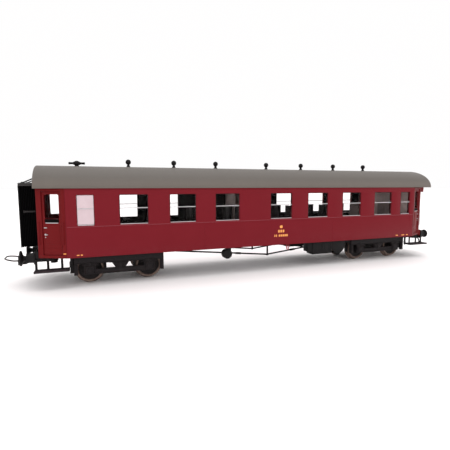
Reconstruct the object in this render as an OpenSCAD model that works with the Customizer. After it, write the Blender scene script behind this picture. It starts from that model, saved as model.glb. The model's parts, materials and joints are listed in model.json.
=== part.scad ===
// Model railway passenger coach on two bogies. +X is the front, -Y the right side, Z = 0 the rail level.

/* [Body] */
// Length of one window bay
bay_l = 21.03; // [18:0.5:25]
// Length of the toilet section at the rear of the straight side
toilet_l = 16.06; // [14:0.5:20]
// Length of the closet section between the two saloons
closet_l = 6.98; // [5:0.5:12]
// Length of the lobby section at the front of the straight side
lobby_l = 11.76; // [10:0.5:16]
// Length of each tapered entrance, along the coach
entrance_l = 10.7; // [10:0.1:14]
// Width over the sides
body_w = 34; // [30:0.5:40]
// Width of each end wall
end_w = 24; // [22:0.5:26]
// Thickness of the body walls
wall_t = 1; // [0.8:0.1:1.4]
// Height of the lower edge of the sides above the rails
side_bottom = 12.5; // [12:0.1:15]
// Height of the side below its windows
waist_h = 13.1; // [11:0.5:16]
// Height of the side above its windows
header_h = 2.55; // [1.5:0.1:5]

/* [Windows] */
// Width of a saloon window
win_w = 11.78; // [9:0.1:14]
// Width of the toilet and lobby windows
small_win_w = 6.61; // [5:0.1:8]
// Height of every side window
win_h = 12.2; // [10:0.1:14]
// Distance of the toilet window's middle from the rear end of the side
toilet_win_in = 7.55; // [6:0.05:9]
// Distance of the lobby window's middle from the front end of the side
lobby_win_in = 6.44; // [5:0.05:7]
// Width of a window frame's border
frame_b = 0.45; // [0.3:0.05:0.7]
// Height of the crossbar above the window's lower edge
bar_up = 6.6; // [4:0.1:8]
// Thickness of the glass
glass_t = 0.5; // [0.3:0.1:0.6]

/* [Doors] */
// Width of an entrance door along the tapered wall
door_w = 8; // [6.5:0.1:9]
// Height of every door
door_h = 25.6; // [24:0.1:26.5]
// Height of the door sill above the lower edge of the sides
door_up = 1.2; // [0.8:0.1:2]
// Width of an entrance door's window
door_win_w = 5.96; // [4:0.1:6.2]
// Height of a door's window
door_win_h = 9.6; // [7:0.1:10]
// Height of a door window's lower edge above the sill
door_win_up = 14.7; // [12:0.1:15]
// How far a door lies behind the wall's face
door_recess = 0.4; // [0.1:0.1:0.5]
// Width of the door in each end wall
gangway_door_w = 8.8; // [7:0.1:9.4]

/* [Roof] */
// Height of the roof's crown above the walls
roof_rise = 9.45; // [7:0.1:12]
// Overhang of the roof past the sides
roof_side = 0.45; // [0.2:0.05:0.8]
// Overhang of the roof past the front end wall
roof_end = 1.8; // [1.2:0.1:2.4]
// Overhang of the roof past the rear end wall
rear_roof_end = 0.4; // [0.2:0.1:0.8]
// Thickness of the roof
roof_t = 1.3; // [1:0.1:2]
// Diameter of a ball ventilator
vent_d = 2.4; // [1.4:0.1:2.8]
// Height of a ball ventilator's middle above the crown
vent_up = 2.2; // [1.6:0.1:3]
// Length of the long ventilator over the toilet
torpedo_l = 6.7; // [5:0.1:8]

/* [Wheels and bogies] */
// Diameter of the wheel tread
tread_d = 11.2; // [9:0.1:14]
// Height of the wheel flange
flange_h = 0.7; // [0.5:0.05:0.9]
// Distance between the backs of the two wheels of an axle
back_to_back = 14.4; // [14.2:0.1:14.6]
// Width of a wheel's tyre
tyre_w = 2.8; // [2.4:0.1:3]
// Diameter of an axle
axle_d = 1.5; // [1.2:0.1:2]
// Distance between the axles of a bogie
wheelbase = 24.7; // [23:0.1:28]
// Distance of a bogie's pivot from the end of the straight side
pivot_in = 20.8; // [20.8:0.1:24]
// Thickness of a bogie's side frame
frame_t = 1.6; // [1.2:0.1:2]
// Distance between the insides of a bogie's side frames
frame_gap = 22.8; // [22.6:0.1:23.4]
// Height of a bogie frame's top above the axles
frame_up = 5.7; // [5.2:0.1:6]
// Gap between the floor and the tops of the wheels
floor_gap = 1.1; // [0.9:0.1:2]
// Diameter of a bogie's pivot pin
pivot_d = 2.3; // [1.8:0.1:2.6]

/* [Underframe] */
// Thickness of the floor
floor_t = 1; // [0.8:0.1:1.5]
// Depth of the truss below the sills
truss_h = 6.4; // [4:0.1:7]
// Diameter of the truss rods
rod_d = 0.8; // [0.5:0.1:1]
// Distance of each truss from the middle of the coach
truss_y = 9; // [7:0.1:9.2]
// Length of a battery box
battery_l = 12; // [8:0.5:14]
// Depth of a battery box below the sills
battery_h = 6.6; // [4:0.1:7]
// Diameter of the dynamo
dynamo_d = 4.6; // [3.5:0.1:5.2]
// Height of the ballast weight's plate
ballast_t = 1.5; // [1:0.1:2.5]
// Depth of a footboard
step_w = 4.5; // [3:0.1:5]
// Height of a footboard's top above the rails
step_z = 8.1; // [7:0.1:9.5]
// Thickness of a footboard
step_t = 0.8; // [0.6:0.1:1]

/* [Ends] */
// Height of the buffers above the rails
buffer_z = 12.5; // [12.2:0.1:13.2]
// Distance between the middles of the two buffers of an end
buffer_gap = 20.12; // [18:0.1:21]
// Diameter of a rear buffer head
buffer_d = 6.2; // [5:0.1:6.4]
// Diameter of a front buffer head
front_buffer_d = 4.6; // [4.4:0.1:6.4]
// Reach of a buffer past its beam
buffer_l = 5.6; // [5:0.1:7]
// Depth of the extended bellows past the end wall
bellows_l = 6.7; // [6:0.1:9]
// Width of the bellows
bellows_w = 14.4; // [13:0.1:16]
// Number of folds in the bellows
folds = 6; // [4:1:8]
// Width of a coupling bow
bow_w = 10.8; // [9:0.1:11]
// Thickness of the bow's wire
bow_t = 0.6; // [0.5:0.1:0.8]
// Angle by which the bow slopes up at rest
bow_slope = 11; // [8:1:14]

/* [Hidden] */
$fn = 48;
REAR_BAYS = 3;
FRONT_BAYS = 4;
ROOF_STEPS = 36;
FIT = 0.1;
TURN_FIT = 0.1;

coach_red = "#80242c";
door_red = "#701a1e";
roof_grey = "#7a716c";
plastic_black = "#262424";
steel_grey = "#8c8c8c";
rim_brown = "#64544c";
silver = "#c8c8c8";
seat_brown = "#4a2c22";

// Lengths along the coach
side_x = (toilet_l + closet_l + lobby_l + (REAR_BAYS + FRONT_BAYS) * bay_l) / 2;
end_x = side_x + entrance_l;
rear_saloon_x = -side_x + toilet_l;
closet_x = rear_saloon_x + REAR_BAYS * bay_l;
front_saloon_x = closet_x + closet_l;
lobby_x = front_saloon_x + FRONT_BAYS * bay_l;
roof_x = end_x + roof_end;
rear_roof_x = end_x + rear_roof_end;
pivot_x = side_x - pivot_in;

// Widths and the tapered wall
half_w = body_w / 2;
inner_y = half_w - wall_t;
taper_a = atan2(half_w - end_w / 2, entrance_l);
taper_l = norm([entrance_l, half_w - end_w / 2]);
door_s = (taper_l - door_w) / 2 - 0.2;

// Heights
flange_r = tread_d / 2 + flange_h;
axle_z = flange_r;
frame_top = axle_z + frame_up;
floor_z = 2 * flange_r + floor_gap;
sill_z = frame_top + 0.6;
deck_z = floor_z + floor_t;
cabin_z = deck_z + ballast_t + 0.8;
win_z = side_bottom + waist_h;
side_h = waist_h + win_h + header_h;
eave_z = side_bottom + side_h;
crown_z = eave_z + roof_rise;
door_z = side_bottom + door_up;

// Window table: middle along the coach, width
saloon_windows = concat(
    [for (i = [0 : REAR_BAYS - 1]) [rear_saloon_x + (i + 0.5) * bay_l, win_w]],
    [for (i = [0 : FRONT_BAYS - 1]) [front_saloon_x + (i + 0.5) * bay_l, win_w]]
);
toilet_window = [-side_x + toilet_win_in, small_win_w];
lobby_window = [side_x - lobby_win_in, small_win_w];
clear_windows = concat(saloon_windows, [lobby_window]);
all_windows = concat(clear_windows, [toilet_window]);

// Seat table: middle of the back along the coach, bench to its rear (1 or 0), bench to its front (1 or 0)
BACK_T = 1.2;
END_SEAT_IN = 0.8;
seat_rows = concat(
    [for (i = [0 : REAR_BAYS])
        [rear_saloon_x + i * bay_l + (i == 0 ? END_SEAT_IN : i == REAR_BAYS ? -END_SEAT_IN : 0),
         i == 0 ? 0 : 1, i == REAR_BAYS ? 0 : 1]],
    [for (i = [0 : FRONT_BAYS])
        [front_saloon_x + i * bay_l + (i == 0 ? END_SEAT_IN : i == FRONT_BAYS ? -END_SEAT_IN : 0),
         i == 0 ? 0 : 1, i == FRONT_BAYS ? 0 : 1]]
);
partition_xs = [
    -side_x + 1.5, rear_saloon_x - 1, closet_x + 1,
    front_saloon_x - 1, lobby_x + 1, side_x - 1.5
];

// Underframe places along the coach
POST_X = 2.3;
POST_W = 0.9;
DYNAMO_X = -20.8;
BATTERY_X = 25.2;
TRUSS_IN = 22.2;
truss_x = pivot_x - TRUSS_IN;
cross_xs = [-truss_x, DYNAMO_X, POST_X, BATTERY_X + 1, BATTERY_X + battery_l - 1, truss_x];
SILL_W = 1.5;
CENTRE_Y = 2.6;
CENTRE_W = 1;
sill_y = inner_y - FIT;

// Bogie parts
frame_y = frame_gap / 2;
END_BEAM_IN = 0.05;
frame_x = wheelbase / 2 + flange_r - END_BEAM_IN;
BOLSTER_X = 4.5;
HOUSING_TOP = 3.6;
HOUSING_LOW = 2;
PEDESTAL_W = 4.6;
GUARD_W = 1.5;
TIE_X = 10.4;
BOX_R = 1.55;
SHOE_T = 0.8;
SHOE_GAP = 0.3;
TIP_D = 1.3;

// Coupling parts
COUPLER_IN = 4.7;
coupler_x = end_x - COUPLER_IN;
SHANK_Z = 9;
SHANK_H = 1.8;
SHANK_L = 10.2;
HEAD_L = 2.8;
BOW_AT = 11.5;
BOW_UP = 1.2;
BOW_L = 7.2;
HEAD_W = 6;
BOW_PIN_D = 0.7;

// Beam and gangway
BEAM_T = 1.3;
BEAM_LOW = 0.7;
BEAM_H = 3.4;
beam_x = end_x + BEAM_T;
GANGWAY_Z = 16.3;
bellows_x = end_x + bellows_l;
bellows_over = rear_roof_end + FIT;
PASSAGE_W = 9.4;
PASSAGE_UP = 1.6;
FOLDED_L = 2.1;
CORNICE_H = 2.75;

// ---------- helpers ----------

// Plan of the body, drawn in by an inset from its faces
module plan(inset) {
    x1 = side_x - inset * tan(taper_a / 2);
    x2 = end_x - inset;
    y1 = half_w - inset;
    y2 = end_w / 2 - inset * tan(45 - taper_a / 2);
    polygon([[x1, -y1], [x2, -y2], [x2, y2], [x1, y1], [-x1, y1], [-x2, y2], [-x2, -y2], [-x1, -y1]]);
}

module both_sides() {
    children();
    mirror([0, 1, 0]) children();
}

module both_ends() {
    children();
    mirror([1, 0, 0]) children();
}

// Places a child on the front right tapered wall: X along the wall, Y inwards
module on_taper() {
    translate([side_x, -half_w, 0]) rotate([0, 0, taper_a]) children();
}

module rod(from, to, d) {
    v = to - from;
    translate(from) rotate([0, atan2(norm([v[0], v[1]]), v[2]), atan2(v[1], v[0])])
        cylinder(d = d, h = norm(v));
}

module block(from, to) {
    translate(from) cube(to - from);
}

// ---------- body shell ----------

module side_wall() {
    difference() {
        block([-side_x, -half_w, side_bottom], [side_x, -inner_y, eave_z]);
        for (w = all_windows)
            block([w[0] - w[1] / 2, -half_w - 1, win_z], [w[0] + w[1] / 2, -inner_y + 1, win_z + win_h]);
    }
}

module right_side_wall() {
    color(coach_red) side_wall();
}

module left_side_wall() {
    color(coach_red) mirror([0, 1, 0]) side_wall();
}

module entrance() {
    difference() {
        translate([0, 0, side_bottom]) linear_extrude(side_h) intersection() {
            difference() {
                plan(0);
                plan(wall_t);
            }
            translate([side_x, -half_w]) square([entrance_l, body_w]);
        }
        both_sides() on_taper() translate([door_s, -1, door_z]) cube([door_w, wall_t + 2, door_h]);
        block([end_x - wall_t - 1, -gangway_door_w / 2, door_z],
              [end_x + 1, gangway_door_w / 2, door_z + door_h]);
    }
}

module cornice() {
    block([end_x, -end_w / 2, eave_z - CORNICE_H], [roof_x + 0.3, end_w / 2, eave_z]);
}

module front_entrance() {
    color(door_red) {
        entrance();
        cornice();
    }
}

module rear_entrance() {
    color(door_red) mirror([1, 0, 0]) entrance();
}

module entrance_door() {
    on_taper() translate([door_s, door_recess, door_z]) difference() {
        cube([door_w, wall_t - door_recess, door_h]);
        translate([(door_w - door_win_w) / 2, -1, door_win_up]) cube([door_win_w, wall_t + 1, door_win_h]);
    }
}

module entrance_doors() {
    color(door_red) both_ends() both_sides() entrance_door();
}

GANGWAY_WIN_W = 5;
module gangway_doors() {
    color(door_red) both_ends() difference() {
        block([end_x - wall_t, -gangway_door_w / 2, door_z],
              [end_x - door_recess, gangway_door_w / 2, door_z + door_h]);
        block([end_x - wall_t - 1, -GANGWAY_WIN_W / 2, door_z + door_win_up],
              [end_x, GANGWAY_WIN_W / 2, door_z + door_win_up + door_win_h]);
    }
}

// ---------- roof ----------

module roof_section(half, rise, skirt) {
    polygon(concat(
        [for (i = [0 : ROOF_STEPS]) [half * cos(180 * i / ROOF_STEPS), rise * sin(180 * i / ROOF_STEPS)]],
        skirt > 0 ? [[-half, -skirt], [half, -skirt]] : []
    ));
}

module roof() {
    roof_y = half_w + roof_side;
    color(roof_grey) translate([0, 0, eave_z]) difference() {
        rotate([90, 0, 90]) translate([0, 0, -rear_roof_x]) linear_extrude(rear_roof_x + roof_x)
            roof_section(roof_y, roof_rise, 0);
        intersection() {
            rotate([90, 0, 90]) translate([0, 0, -roof_x]) linear_extrude(2 * roof_x)
                roof_section(roof_y - roof_t, roof_rise - roof_t, 1);
            translate([0, 0, -2]) linear_extrude(roof_rise + 2) plan(wall_t);
        }
    }
}

VENT_STEM = 1.2;
module roof_vents() {
    color(plastic_black) for (w = saloon_windows) translate([w[0], 0, crown_z]) {
        cylinder(d = 1.8, h = 0.3);
        cylinder(d = VENT_STEM, h = vent_up);
        translate([0, 0, vent_up]) sphere(d = vent_d);
    }
}

module torpedo_vent() {
    bar_z = 1.25;
    color(plastic_black) translate([toilet_window[0] - 2.75, 0, crown_z]) {
        cylinder(d = 1.8, h = 0.3);
        cylinder(d = 1.1, h = bar_z);
        translate([0, 0, bar_z]) sphere(d = 2.2);
        translate([-torpedo_l / 2, 0, bar_z]) rotate([0, 90, 0]) cylinder(d = 1, h = torpedo_l);
    }
}

// ---------- windows ----------

PANE_IN = 0.2;
module pane(w) {
    block([w[0] - w[1] / 2, -half_w + PANE_IN, win_z],
          [w[0] + w[1] / 2, -half_w + PANE_IN + glass_t, win_z + win_h]);
}

module window_frame(w) {
    x0 = w[0] - w[1] / 2;
    x1 = w[0] + w[1] / 2;
    bar_z = win_z + bar_up;
    difference() {
        block([x0, -half_w - 0.05, win_z], [x1, -half_w + PANE_IN, win_z + win_h]);
        block([x0 + frame_b, -half_w - 1, win_z + frame_b], [x1 - frame_b, -half_w + 1, bar_z - frame_b]);
        block([x0 + frame_b, -half_w - 1, bar_z + frame_b],
              [x1 - frame_b, -half_w + 1, win_z + win_h - frame_b]);
    }
}

module right_window_glass() {
    color("lightgrey") for (w = clear_windows) pane(w);
}

module left_window_glass() {
    color("lightgrey") mirror([0, 1, 0]) for (w = clear_windows) pane(w);
}

module toilet_glass() {
    color("white") both_sides() pane(toilet_window);
}

module door_glass() {
    color("lightgrey") both_ends() {
        both_sides() on_taper()
            translate([door_s + (door_w - door_win_w) / 2, wall_t - glass_t, door_z + door_win_up])
                cube([door_win_w, glass_t, door_win_h]);
        block([end_x - wall_t, -GANGWAY_WIN_W / 2, door_z + door_win_up],
              [end_x - wall_t + glass_t, GANGWAY_WIN_W / 2, door_z + door_win_up + door_win_h]);
    }
}

module right_window_frames() {
    color(silver) for (w = all_windows) window_frame(w);
}

module left_window_frames() {
    color(silver) mirror([0, 1, 0]) for (w = all_windows) window_frame(w);
}

// ---------- inside ----------

module ballast_weight() {
    color(steel_grey) block([-pivot_x, -half_w + 5, deck_z], [pivot_x, half_w - 5, deck_z + ballast_t]);
}

module interior_floor() {
    color(seat_brown) translate([0, 0, deck_z + ballast_t]) linear_extrude(0.8) plan(wall_t + FIT);
}

AISLE_Y = 3;
SEAT_Y = 0.6;
BENCH_D = 4.6;
BENCH_H = 5;
BACK_H = 14;

module seats() {
    seat_y = inner_y - SEAT_Y;
    color(seat_brown) both_sides() for (s = seat_rows) {
        block([s[0] - BACK_T / 2, -seat_y, cabin_z], [s[0] + BACK_T / 2, -AISLE_Y, cabin_z + BACK_H]);
        block([s[0] - BACK_T / 2 - s[1] * BENCH_D, -seat_y, cabin_z],
              [s[0] + BACK_T / 2 + s[2] * BENCH_D, -AISLE_Y, cabin_z + BENCH_H]);
    }
}

module partitions() {
    door_y = 2.6;
    color(seat_brown) both_sides() for (x = partition_xs)
        block([x - 0.4, -inner_y + 0.7, cabin_z], [x + 0.4, -door_y, eave_z - 0.4]);
}

module tables() {
    color(seat_brown) both_sides() for (w = saloon_windows)
        block([w[0] - 1.6, -inner_y + 0.3, win_z - 1.2], [w[0] + 1.6, -inner_y + 4.3, win_z - 0.7]);
}

// ---------- underframe ----------

module underframe() {
    color(plastic_black) translate([0, 0, floor_z]) linear_extrude(floor_t) plan(wall_t + FIT);
}

module side_sills() {
    color(plastic_black) both_sides()
        block([-side_x + 2, -sill_y, sill_z], [side_x - 2, -sill_y + SILL_W, floor_z]);
}

module centre_sills() {
    sill_x = coupler_x - 2.5;
    color(plastic_black) both_sides()
        block([-sill_x, -CENTRE_Y - CENTRE_W, sill_z], [sill_x, -CENTRE_Y, floor_z]);
}

module cross_members() {
    color(plastic_black) for (x = cross_xs) {
        block([x - 0.6, -CENTRE_Y, sill_z], [x + 0.6, CENTRE_Y, floor_z]);
        both_sides()
            block([x - 0.6, -sill_y + SILL_W, sill_z], [x + 0.6, -CENTRE_Y - CENTRE_W, floor_z]);
    }
}

module truss() {
    low_z = sill_z - truss_h;
    color(plastic_black) translate([0, -truss_y, 0]) {
        block([POST_X - POST_W / 2, -0.4, low_z], [POST_X + POST_W / 2, 0.4, sill_z]);
        for (s = [-1, 1]) {
            rod([POST_X, 0, low_z + rod_d / 2], [s * truss_x, 0, sill_z - 0.9], rod_d);
            block([s * truss_x - 0.6, -0.45, sill_z - 1.4], [s * truss_x + 0.6, 0.45, sill_z]);
        }
    }
}

module truss_rods() {
    both_sides() truss();
}

DYNAMO_L = 3.4;
module dynamo() {
    y0 = -truss_y - rod_d / 2 - 0.4;
    color(plastic_black) {
        translate([DYNAMO_X, y0, sill_z - 1.4 - dynamo_d / 2]) rotate([90, 0, 0])
            cylinder(d = dynamo_d, h = DYNAMO_L);
        block([DYNAMO_X - 0.5, y0 - DYNAMO_L + 0.6, sill_z - 2], [DYNAMO_X + 2, y0 - 0.6, sill_z]);
    }
}

module battery_boxes() {
    y0 = -truss_y - rod_d / 2 - 0.4;
    y1 = -half_w + 1.8;
    color(plastic_black) both_sides() {
        block([BATTERY_X, y1, sill_z - battery_h], [BATTERY_X + battery_l, y0, sill_z]);
        block([BATTERY_X - 2.4, y1 + 0.4, sill_z - battery_h + 1.4], [BATTERY_X, y0 - 0.6, sill_z]);
    }
}

module brake_hangers() {
    x = BATTERY_X + battery_l + 0.1;
    y = -sill_y + SILL_W;
    color(plastic_black) both_sides() translate([x, y, 0]) rotate([90, 0, 0]) linear_extrude(0.7)
        polygon([[0, sill_z], [8.4, sill_z], [8.2, 8.4], [4.6, 4.6], [3.6, 4.6], [0, 8.4]]);
}

module bogie_pivots() {
    head_z = frame_top - 4.6;
    color(steel_grey) both_ends() translate([pivot_x, 0, 0]) {
        translate([0, 0, frame_top + 0.1]) cylinder(d = 4.8, h = floor_z - frame_top - 0.1);
        translate([0, 0, head_z]) cylinder(d = pivot_d, h = floor_z - head_z);
        translate([0, 0, head_z - 0.7]) cylinder(d = 4.4, h = 0.7);
    }
}

// Hanger table: place past the end wall, distance from the board's inner edge, height of its top
step_hangers = [
    [0.9, 0.05, side_bottom - BEAM_LOW],
    [-3.4, 0.3, side_bottom],
    [-8.6, 0.6, floor_z]
];

HANGER_W = 0.9;
module footboards() {
    x0 = side_x - 0.8;
    x1 = end_x + 1.5;
    y0 = -half_w + step_w;
    color(plastic_black) both_ends() both_sides() {
        block([x0, -half_w, step_z - step_t], [x1, y0, step_z]);
        for (h = step_hangers)
            block([end_x + h[0] - HANGER_W / 2, y0 - h[1] - 0.5, step_z - step_t],
                  [end_x + h[0] + HANGER_W / 2, y0 - h[1], h[2]]);
    }
}

PIPE_D = 1;
PIPE_IN = 1.4;
PIPE_Y = 3.6;
PIPE_LOW = 0.9;
module drain_pipes() {
    color(plastic_black) both_ends() both_sides()
        translate([side_x - PIPE_IN, -half_w + PIPE_Y, step_z - PIPE_LOW])
            cylinder(d = PIPE_D, h = floor_z - step_z + PIPE_LOW);
}

// ---------- ends ----------

module buffer_beams() {
    z0 = side_bottom - BEAM_LOW;
    color(coach_red) both_ends() block([end_x, -end_w / 2, z0], [beam_x, end_w / 2, z0 + BEAM_H]);
}

HEAD_T = 1;
SLEEVE_D = 4.2;
SLEEVE_L = 3.2;
SLEEVE_FLOOR = 0.6;
PLUNGER_D = 2;
module buffer_sleeves() {
    color(plastic_black) both_ends() both_sides()
        translate([beam_x, -buffer_gap / 2, buffer_z]) rotate([0, 90, 0]) {
            difference() {
                cylinder(d = SLEEVE_D, h = SLEEVE_L);
                translate([0, 0, SLEEVE_FLOOR]) cylinder(d = PLUNGER_D + 2 * FIT, h = SLEEVE_L);
            }
            cylinder(d = SLEEVE_D + 0.6, h = 0.5);
        }
}

// A buffer on the front beam's right side
module buffer_head(d) {
    translate([beam_x, -buffer_gap / 2, buffer_z]) rotate([0, 90, 0]) {
        translate([0, 0, SLEEVE_FLOOR]) cylinder(d = PLUNGER_D, h = buffer_l - SLEEVE_FLOOR - HEAD_T);
        translate([0, 0, buffer_l - HEAD_T]) cylinder(d = d, h = HEAD_T);
    }
}

module buffer_heads() {
    color(plastic_black) both_sides() {
        buffer_head(front_buffer_d);
        mirror([1, 0, 0]) buffer_head(buffer_d);
    }
}

module bellows_ring(x0, x1, grow, top) {
    block([x0, -bellows_w / 2 - grow, GANGWAY_Z - grow], [x1, bellows_w / 2 + grow, top + grow]);
}

module rear_bellows() {
    front_x = end_x + bellows_over;
    top = eave_z + 1.7;
    pitch = bellows_l / folds;
    color(plastic_black) mirror([1, 0, 0]) difference() {
        union() {
            bellows_ring(end_x, front_x, -0.5, eave_z - 0.2);
            bellows_ring(front_x, bellows_x, -0.5, top);
            for (i = [0 : folds - 1]) {
                x = end_x + (i + 0.35) * pitch;
                bellows_ring(x, x + pitch * 0.5, 0, x < front_x ? eave_z - 0.5 : top);
            }
        }
        block([end_x - 1, -PASSAGE_W / 2, GANGWAY_Z + PASSAGE_UP],
              [bellows_x + 1, PASSAGE_W / 2, door_z + door_h - 0.4]);
    }
}

module bellows_cap() {
    top = eave_z + 1.7;
    stay_y = bellows_w / 2 - 0.7;
    color(roof_grey) mirror([1, 0, 0]) {
        block([end_x + bellows_over + 0.3, -bellows_w / 2, top], [bellows_x, bellows_w / 2, top + 0.6]);
        both_sides()
            rod([bellows_x - 1.6, -stay_y, top + 0.4], [rear_roof_x + 0.28, -stay_y, top + 2.7], 0.5);
    }
}

module front_gangway() {
    color(plastic_black) difference() {
        bellows_ring(end_x, end_x + FOLDED_L, 0, eave_z - CORNICE_H);
        block([end_x - 1, -PASSAGE_W / 2, GANGWAY_Z + PASSAGE_UP],
              [end_x + FOLDED_L + 1, PASSAGE_W / 2, eave_z - CORNICE_H - 1.3]);
    }
}

// ---------- bogies ----------

// Half of a side frame's outline, from its middle outwards
module side_frame_outline() {
    axle_x = wheelbase / 2;
    beam_low = axle_z + 2.7;
    tie_top = axle_z + 0.3;
    translate([-frame_x, beam_low]) square([2 * frame_x, frame_top - beam_low]);
    translate([-TIE_X, axle_z - 1.9]) square([2 * TIE_X, 2.2]);
    polygon([[-HOUSING_TOP, beam_low], [HOUSING_TOP, beam_low],
             [HOUSING_LOW, tie_top], [-HOUSING_LOW, tie_top]]);
    for (s = [-1, 1]) {
        translate([s * axle_x - PEDESTAL_W / 2, axle_z - 1.9]) square([PEDESTAL_W, frame_up - 0.5]);
        translate([s > 0 ? frame_x - GUARD_W : -frame_x, axle_z - 1.9]) square([GUARD_W, frame_up - 0.5]);
    }
}

module bogie_frame() {
    axle_x = wheelbase / 2;
    color(plastic_black) difference() {
        union() {
            both_sides() {
                translate([0, -frame_y, 0]) rotate([90, 0, 0]) linear_extrude(frame_t) side_frame_outline();
                for (s = [-1, 1]) translate([s * axle_x, -frame_y - frame_t, axle_z]) rotate([90, 0, 0])
                    cylinder(r = BOX_R, h = 0.6);
            }
            block([-BOLSTER_X, -frame_y - 0.2, frame_top - 3.4], [BOLSTER_X, frame_y + 0.2, frame_top]);
            for (s = [-1, 1]) {
                x = s > 0 ? frame_x - 0.7 : -frame_x;
                block([x, -frame_y - 0.2, axle_z + 3.6], [x + 0.7, frame_y + 0.2, frame_top - 0.5]);
            }
        }
        translate([0, 0, axle_z]) cylinder(d = pivot_d + 2 * TURN_FIT, h = frame_up + 1);
        for (s = [-1, 1]) both_sides() translate([s * axle_x, -frame_y + 0.5, axle_z]) rotate([90, 0, 0])
            cylinder(d = TIP_D + 2 * TURN_FIT, h = 1.6);
    }
}

module bogie_brakes() {
    axle_x = wheelbase / 2;
    outer_x = axle_x + tread_d / 2 + SHOE_GAP;
    inner_x = axle_x - tread_d / 2 - SHOE_GAP;
    shoe_y = back_to_back / 2 + 1;
    color(plastic_black) both_ends() both_sides() {
        block([outer_x, -shoe_y - 1.6, axle_z - 1.5], [outer_x + SHOE_T, -shoe_y, axle_z + 2.2]);
        block([outer_x, -shoe_y - 1.2, axle_z + 2.2], [outer_x + 0.5, -shoe_y - 0.4, axle_z + 3.6]);
        block([inner_x - SHOE_T, -shoe_y - 1.6, axle_z - 1.5], [inner_x, -shoe_y, axle_z + 2.4]);
        block([BOLSTER_X, -shoe_y - 1.2, axle_z + 2.4], [inner_x, -shoe_y - 0.4, axle_z + 3.2]);
    }
}

module rear_bogie_frame() {
    translate([-pivot_x, 0, 0]) bogie_frame();
}

module front_bogie_frame() {
    translate([pivot_x, 0, 0]) bogie_frame();
}

module rear_bogie_brakes() {
    translate([-pivot_x, 0, 0]) bogie_brakes();
}

module front_bogie_brakes() {
    translate([pivot_x, 0, 0]) bogie_brakes();
}

// Wheel profile: radius, distance from the wheel's back
module wheel() {
    tread_r = tread_d / 2;
    bore_r = axle_d / 2 + 0.02;
    rotate_extrude() polygon([
        [bore_r, 0], [2, 0], [2, 0.9], [tread_r - 1, 0.9], [tread_r - 1, 0],
        [flange_r - 0.2, 0], [flange_r, 0.2], [flange_r, 0.4], [tread_r + 0.1, 0.8],
        [tread_r, tyre_w], [tread_r - 0.9, tyre_w], [tread_r - 1, 1.7],
        [2, 1.7], [2, tyre_w], [bore_r, tyre_w]
    ]);
}

// Places of the four wheelsets along the coach, from the rear
axle_xs = [for (p = [-pivot_x, pivot_x]) for (s = [-1, 1]) p + s * wheelbase / 2];

module wheels(i) {
    color(rim_brown) translate([axle_xs[i], 0, axle_z]) both_sides()
        translate([0, -back_to_back / 2, 0]) rotate([90, 0, 0]) wheel();
}

module axle(i) {
    tip_y = frame_y + 0.7;
    color(steel_grey) translate([axle_xs[i], 0, axle_z]) rotate([90, 0, 0]) {
        translate([0, 0, -frame_y + 0.4]) cylinder(d = axle_d, h = 2 * frame_y - 0.8);
        translate([0, 0, -tip_y]) cylinder(d = TIP_D, h = 2 * tip_y);
    }
}

module wheels_1() { wheels(0); }
module wheels_2() { wheels(1); }
module wheels_3() { wheels(2); }
module wheels_4() { wheels(3); }
module axle_1() { axle(0); }
module axle_2() { axle(1); }
module axle_3() { axle(2); }
module axle_4() { axle(3); }

// ---------- couplings ----------

module coupler_mounts() {
    pin_low = SHANK_Z - 0.6;
    color(plastic_black) both_ends() translate([coupler_x, 0, 0]) {
        block([-1.8, -2.3, SHANK_Z + SHANK_H + 0.15], [1.8, 2.3, floor_z]);
        translate([0, 0, pin_low]) cylinder(d = 1.8, h = floor_z - pin_low);
        translate([0, 0, pin_low - 0.2]) cylinder(d = 2.8, h = 0.6);
    }
}

module coupler() {
    z1 = SHANK_Z + SHANK_H;
    color(plastic_black) translate([coupler_x, 0, 0]) difference() {
        union() {
            translate([0, 0, SHANK_Z]) cylinder(r = 1.7, h = SHANK_H);
            block([0, -1.4, SHANK_Z], [SHANK_L + 0.2, 1.4, z1]);
            block([SHANK_L, -HEAD_W / 2, SHANK_Z - 0.3], [SHANK_L + HEAD_L, HEAD_W / 2, z1 + 0.4]);
            block([SHANK_L + HEAD_L - 0.1, -HEAD_W / 2, SHANK_Z - 0.6],
                  [SHANK_L + HEAD_L + 0.5, HEAD_W / 2, z1]);
        }
        translate([0, 0, SHANK_Z - 1]) cylinder(d = 1.8 + 2 * TURN_FIT, h = SHANK_H + 2);
        translate([BOW_AT, HEAD_W / 2 + 1, SHANK_Z + BOW_UP]) rotate([90, 0, 0])
            cylinder(d = BOW_PIN_D + 2 * TURN_FIT, h = HEAD_W + 2);
    }
}

// Bow seen from above, its pivot at the origin
module bow_outline() {
    w0 = HEAD_W / 2 + 0.2;
    w1 = bow_w / 2;
    difference() {
        polygon([[-0.7, -w0 - bow_t], [0.9, -w0 - bow_t], [3.4, -w1], [BOW_L - 1, -w1], [BOW_L, -w1 + 1],
                 [BOW_L, w1 - 1], [BOW_L - 1, w1], [3.4, w1], [0.9, w0 + bow_t], [-0.7, w0 + bow_t]]);
        polygon([[-1, -w0], [1, -w0], [3.6, -w1 + bow_t], [BOW_L - 1.25, -w1 + bow_t],
                 [BOW_L - bow_t, -w1 + 1.25], [BOW_L - bow_t, w1 - 1.25], [BOW_L - 1.25, w1 - bow_t],
                 [3.6, w1 - bow_t], [1, w0], [-1, w0]]);
    }
}

module bow() {
    color(plastic_black) translate([coupler_x + BOW_AT, 0, SHANK_Z + BOW_UP]) rotate([0, -bow_slope, 0]) {
        translate([0, 0, -bow_t / 2]) linear_extrude(bow_t) bow_outline();
        rotate([90, 0, 0]) translate([0, 0, -HEAD_W / 2 - 0.4]) cylinder(d = BOW_PIN_D, h = HEAD_W + 0.8);
    }
}

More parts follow.
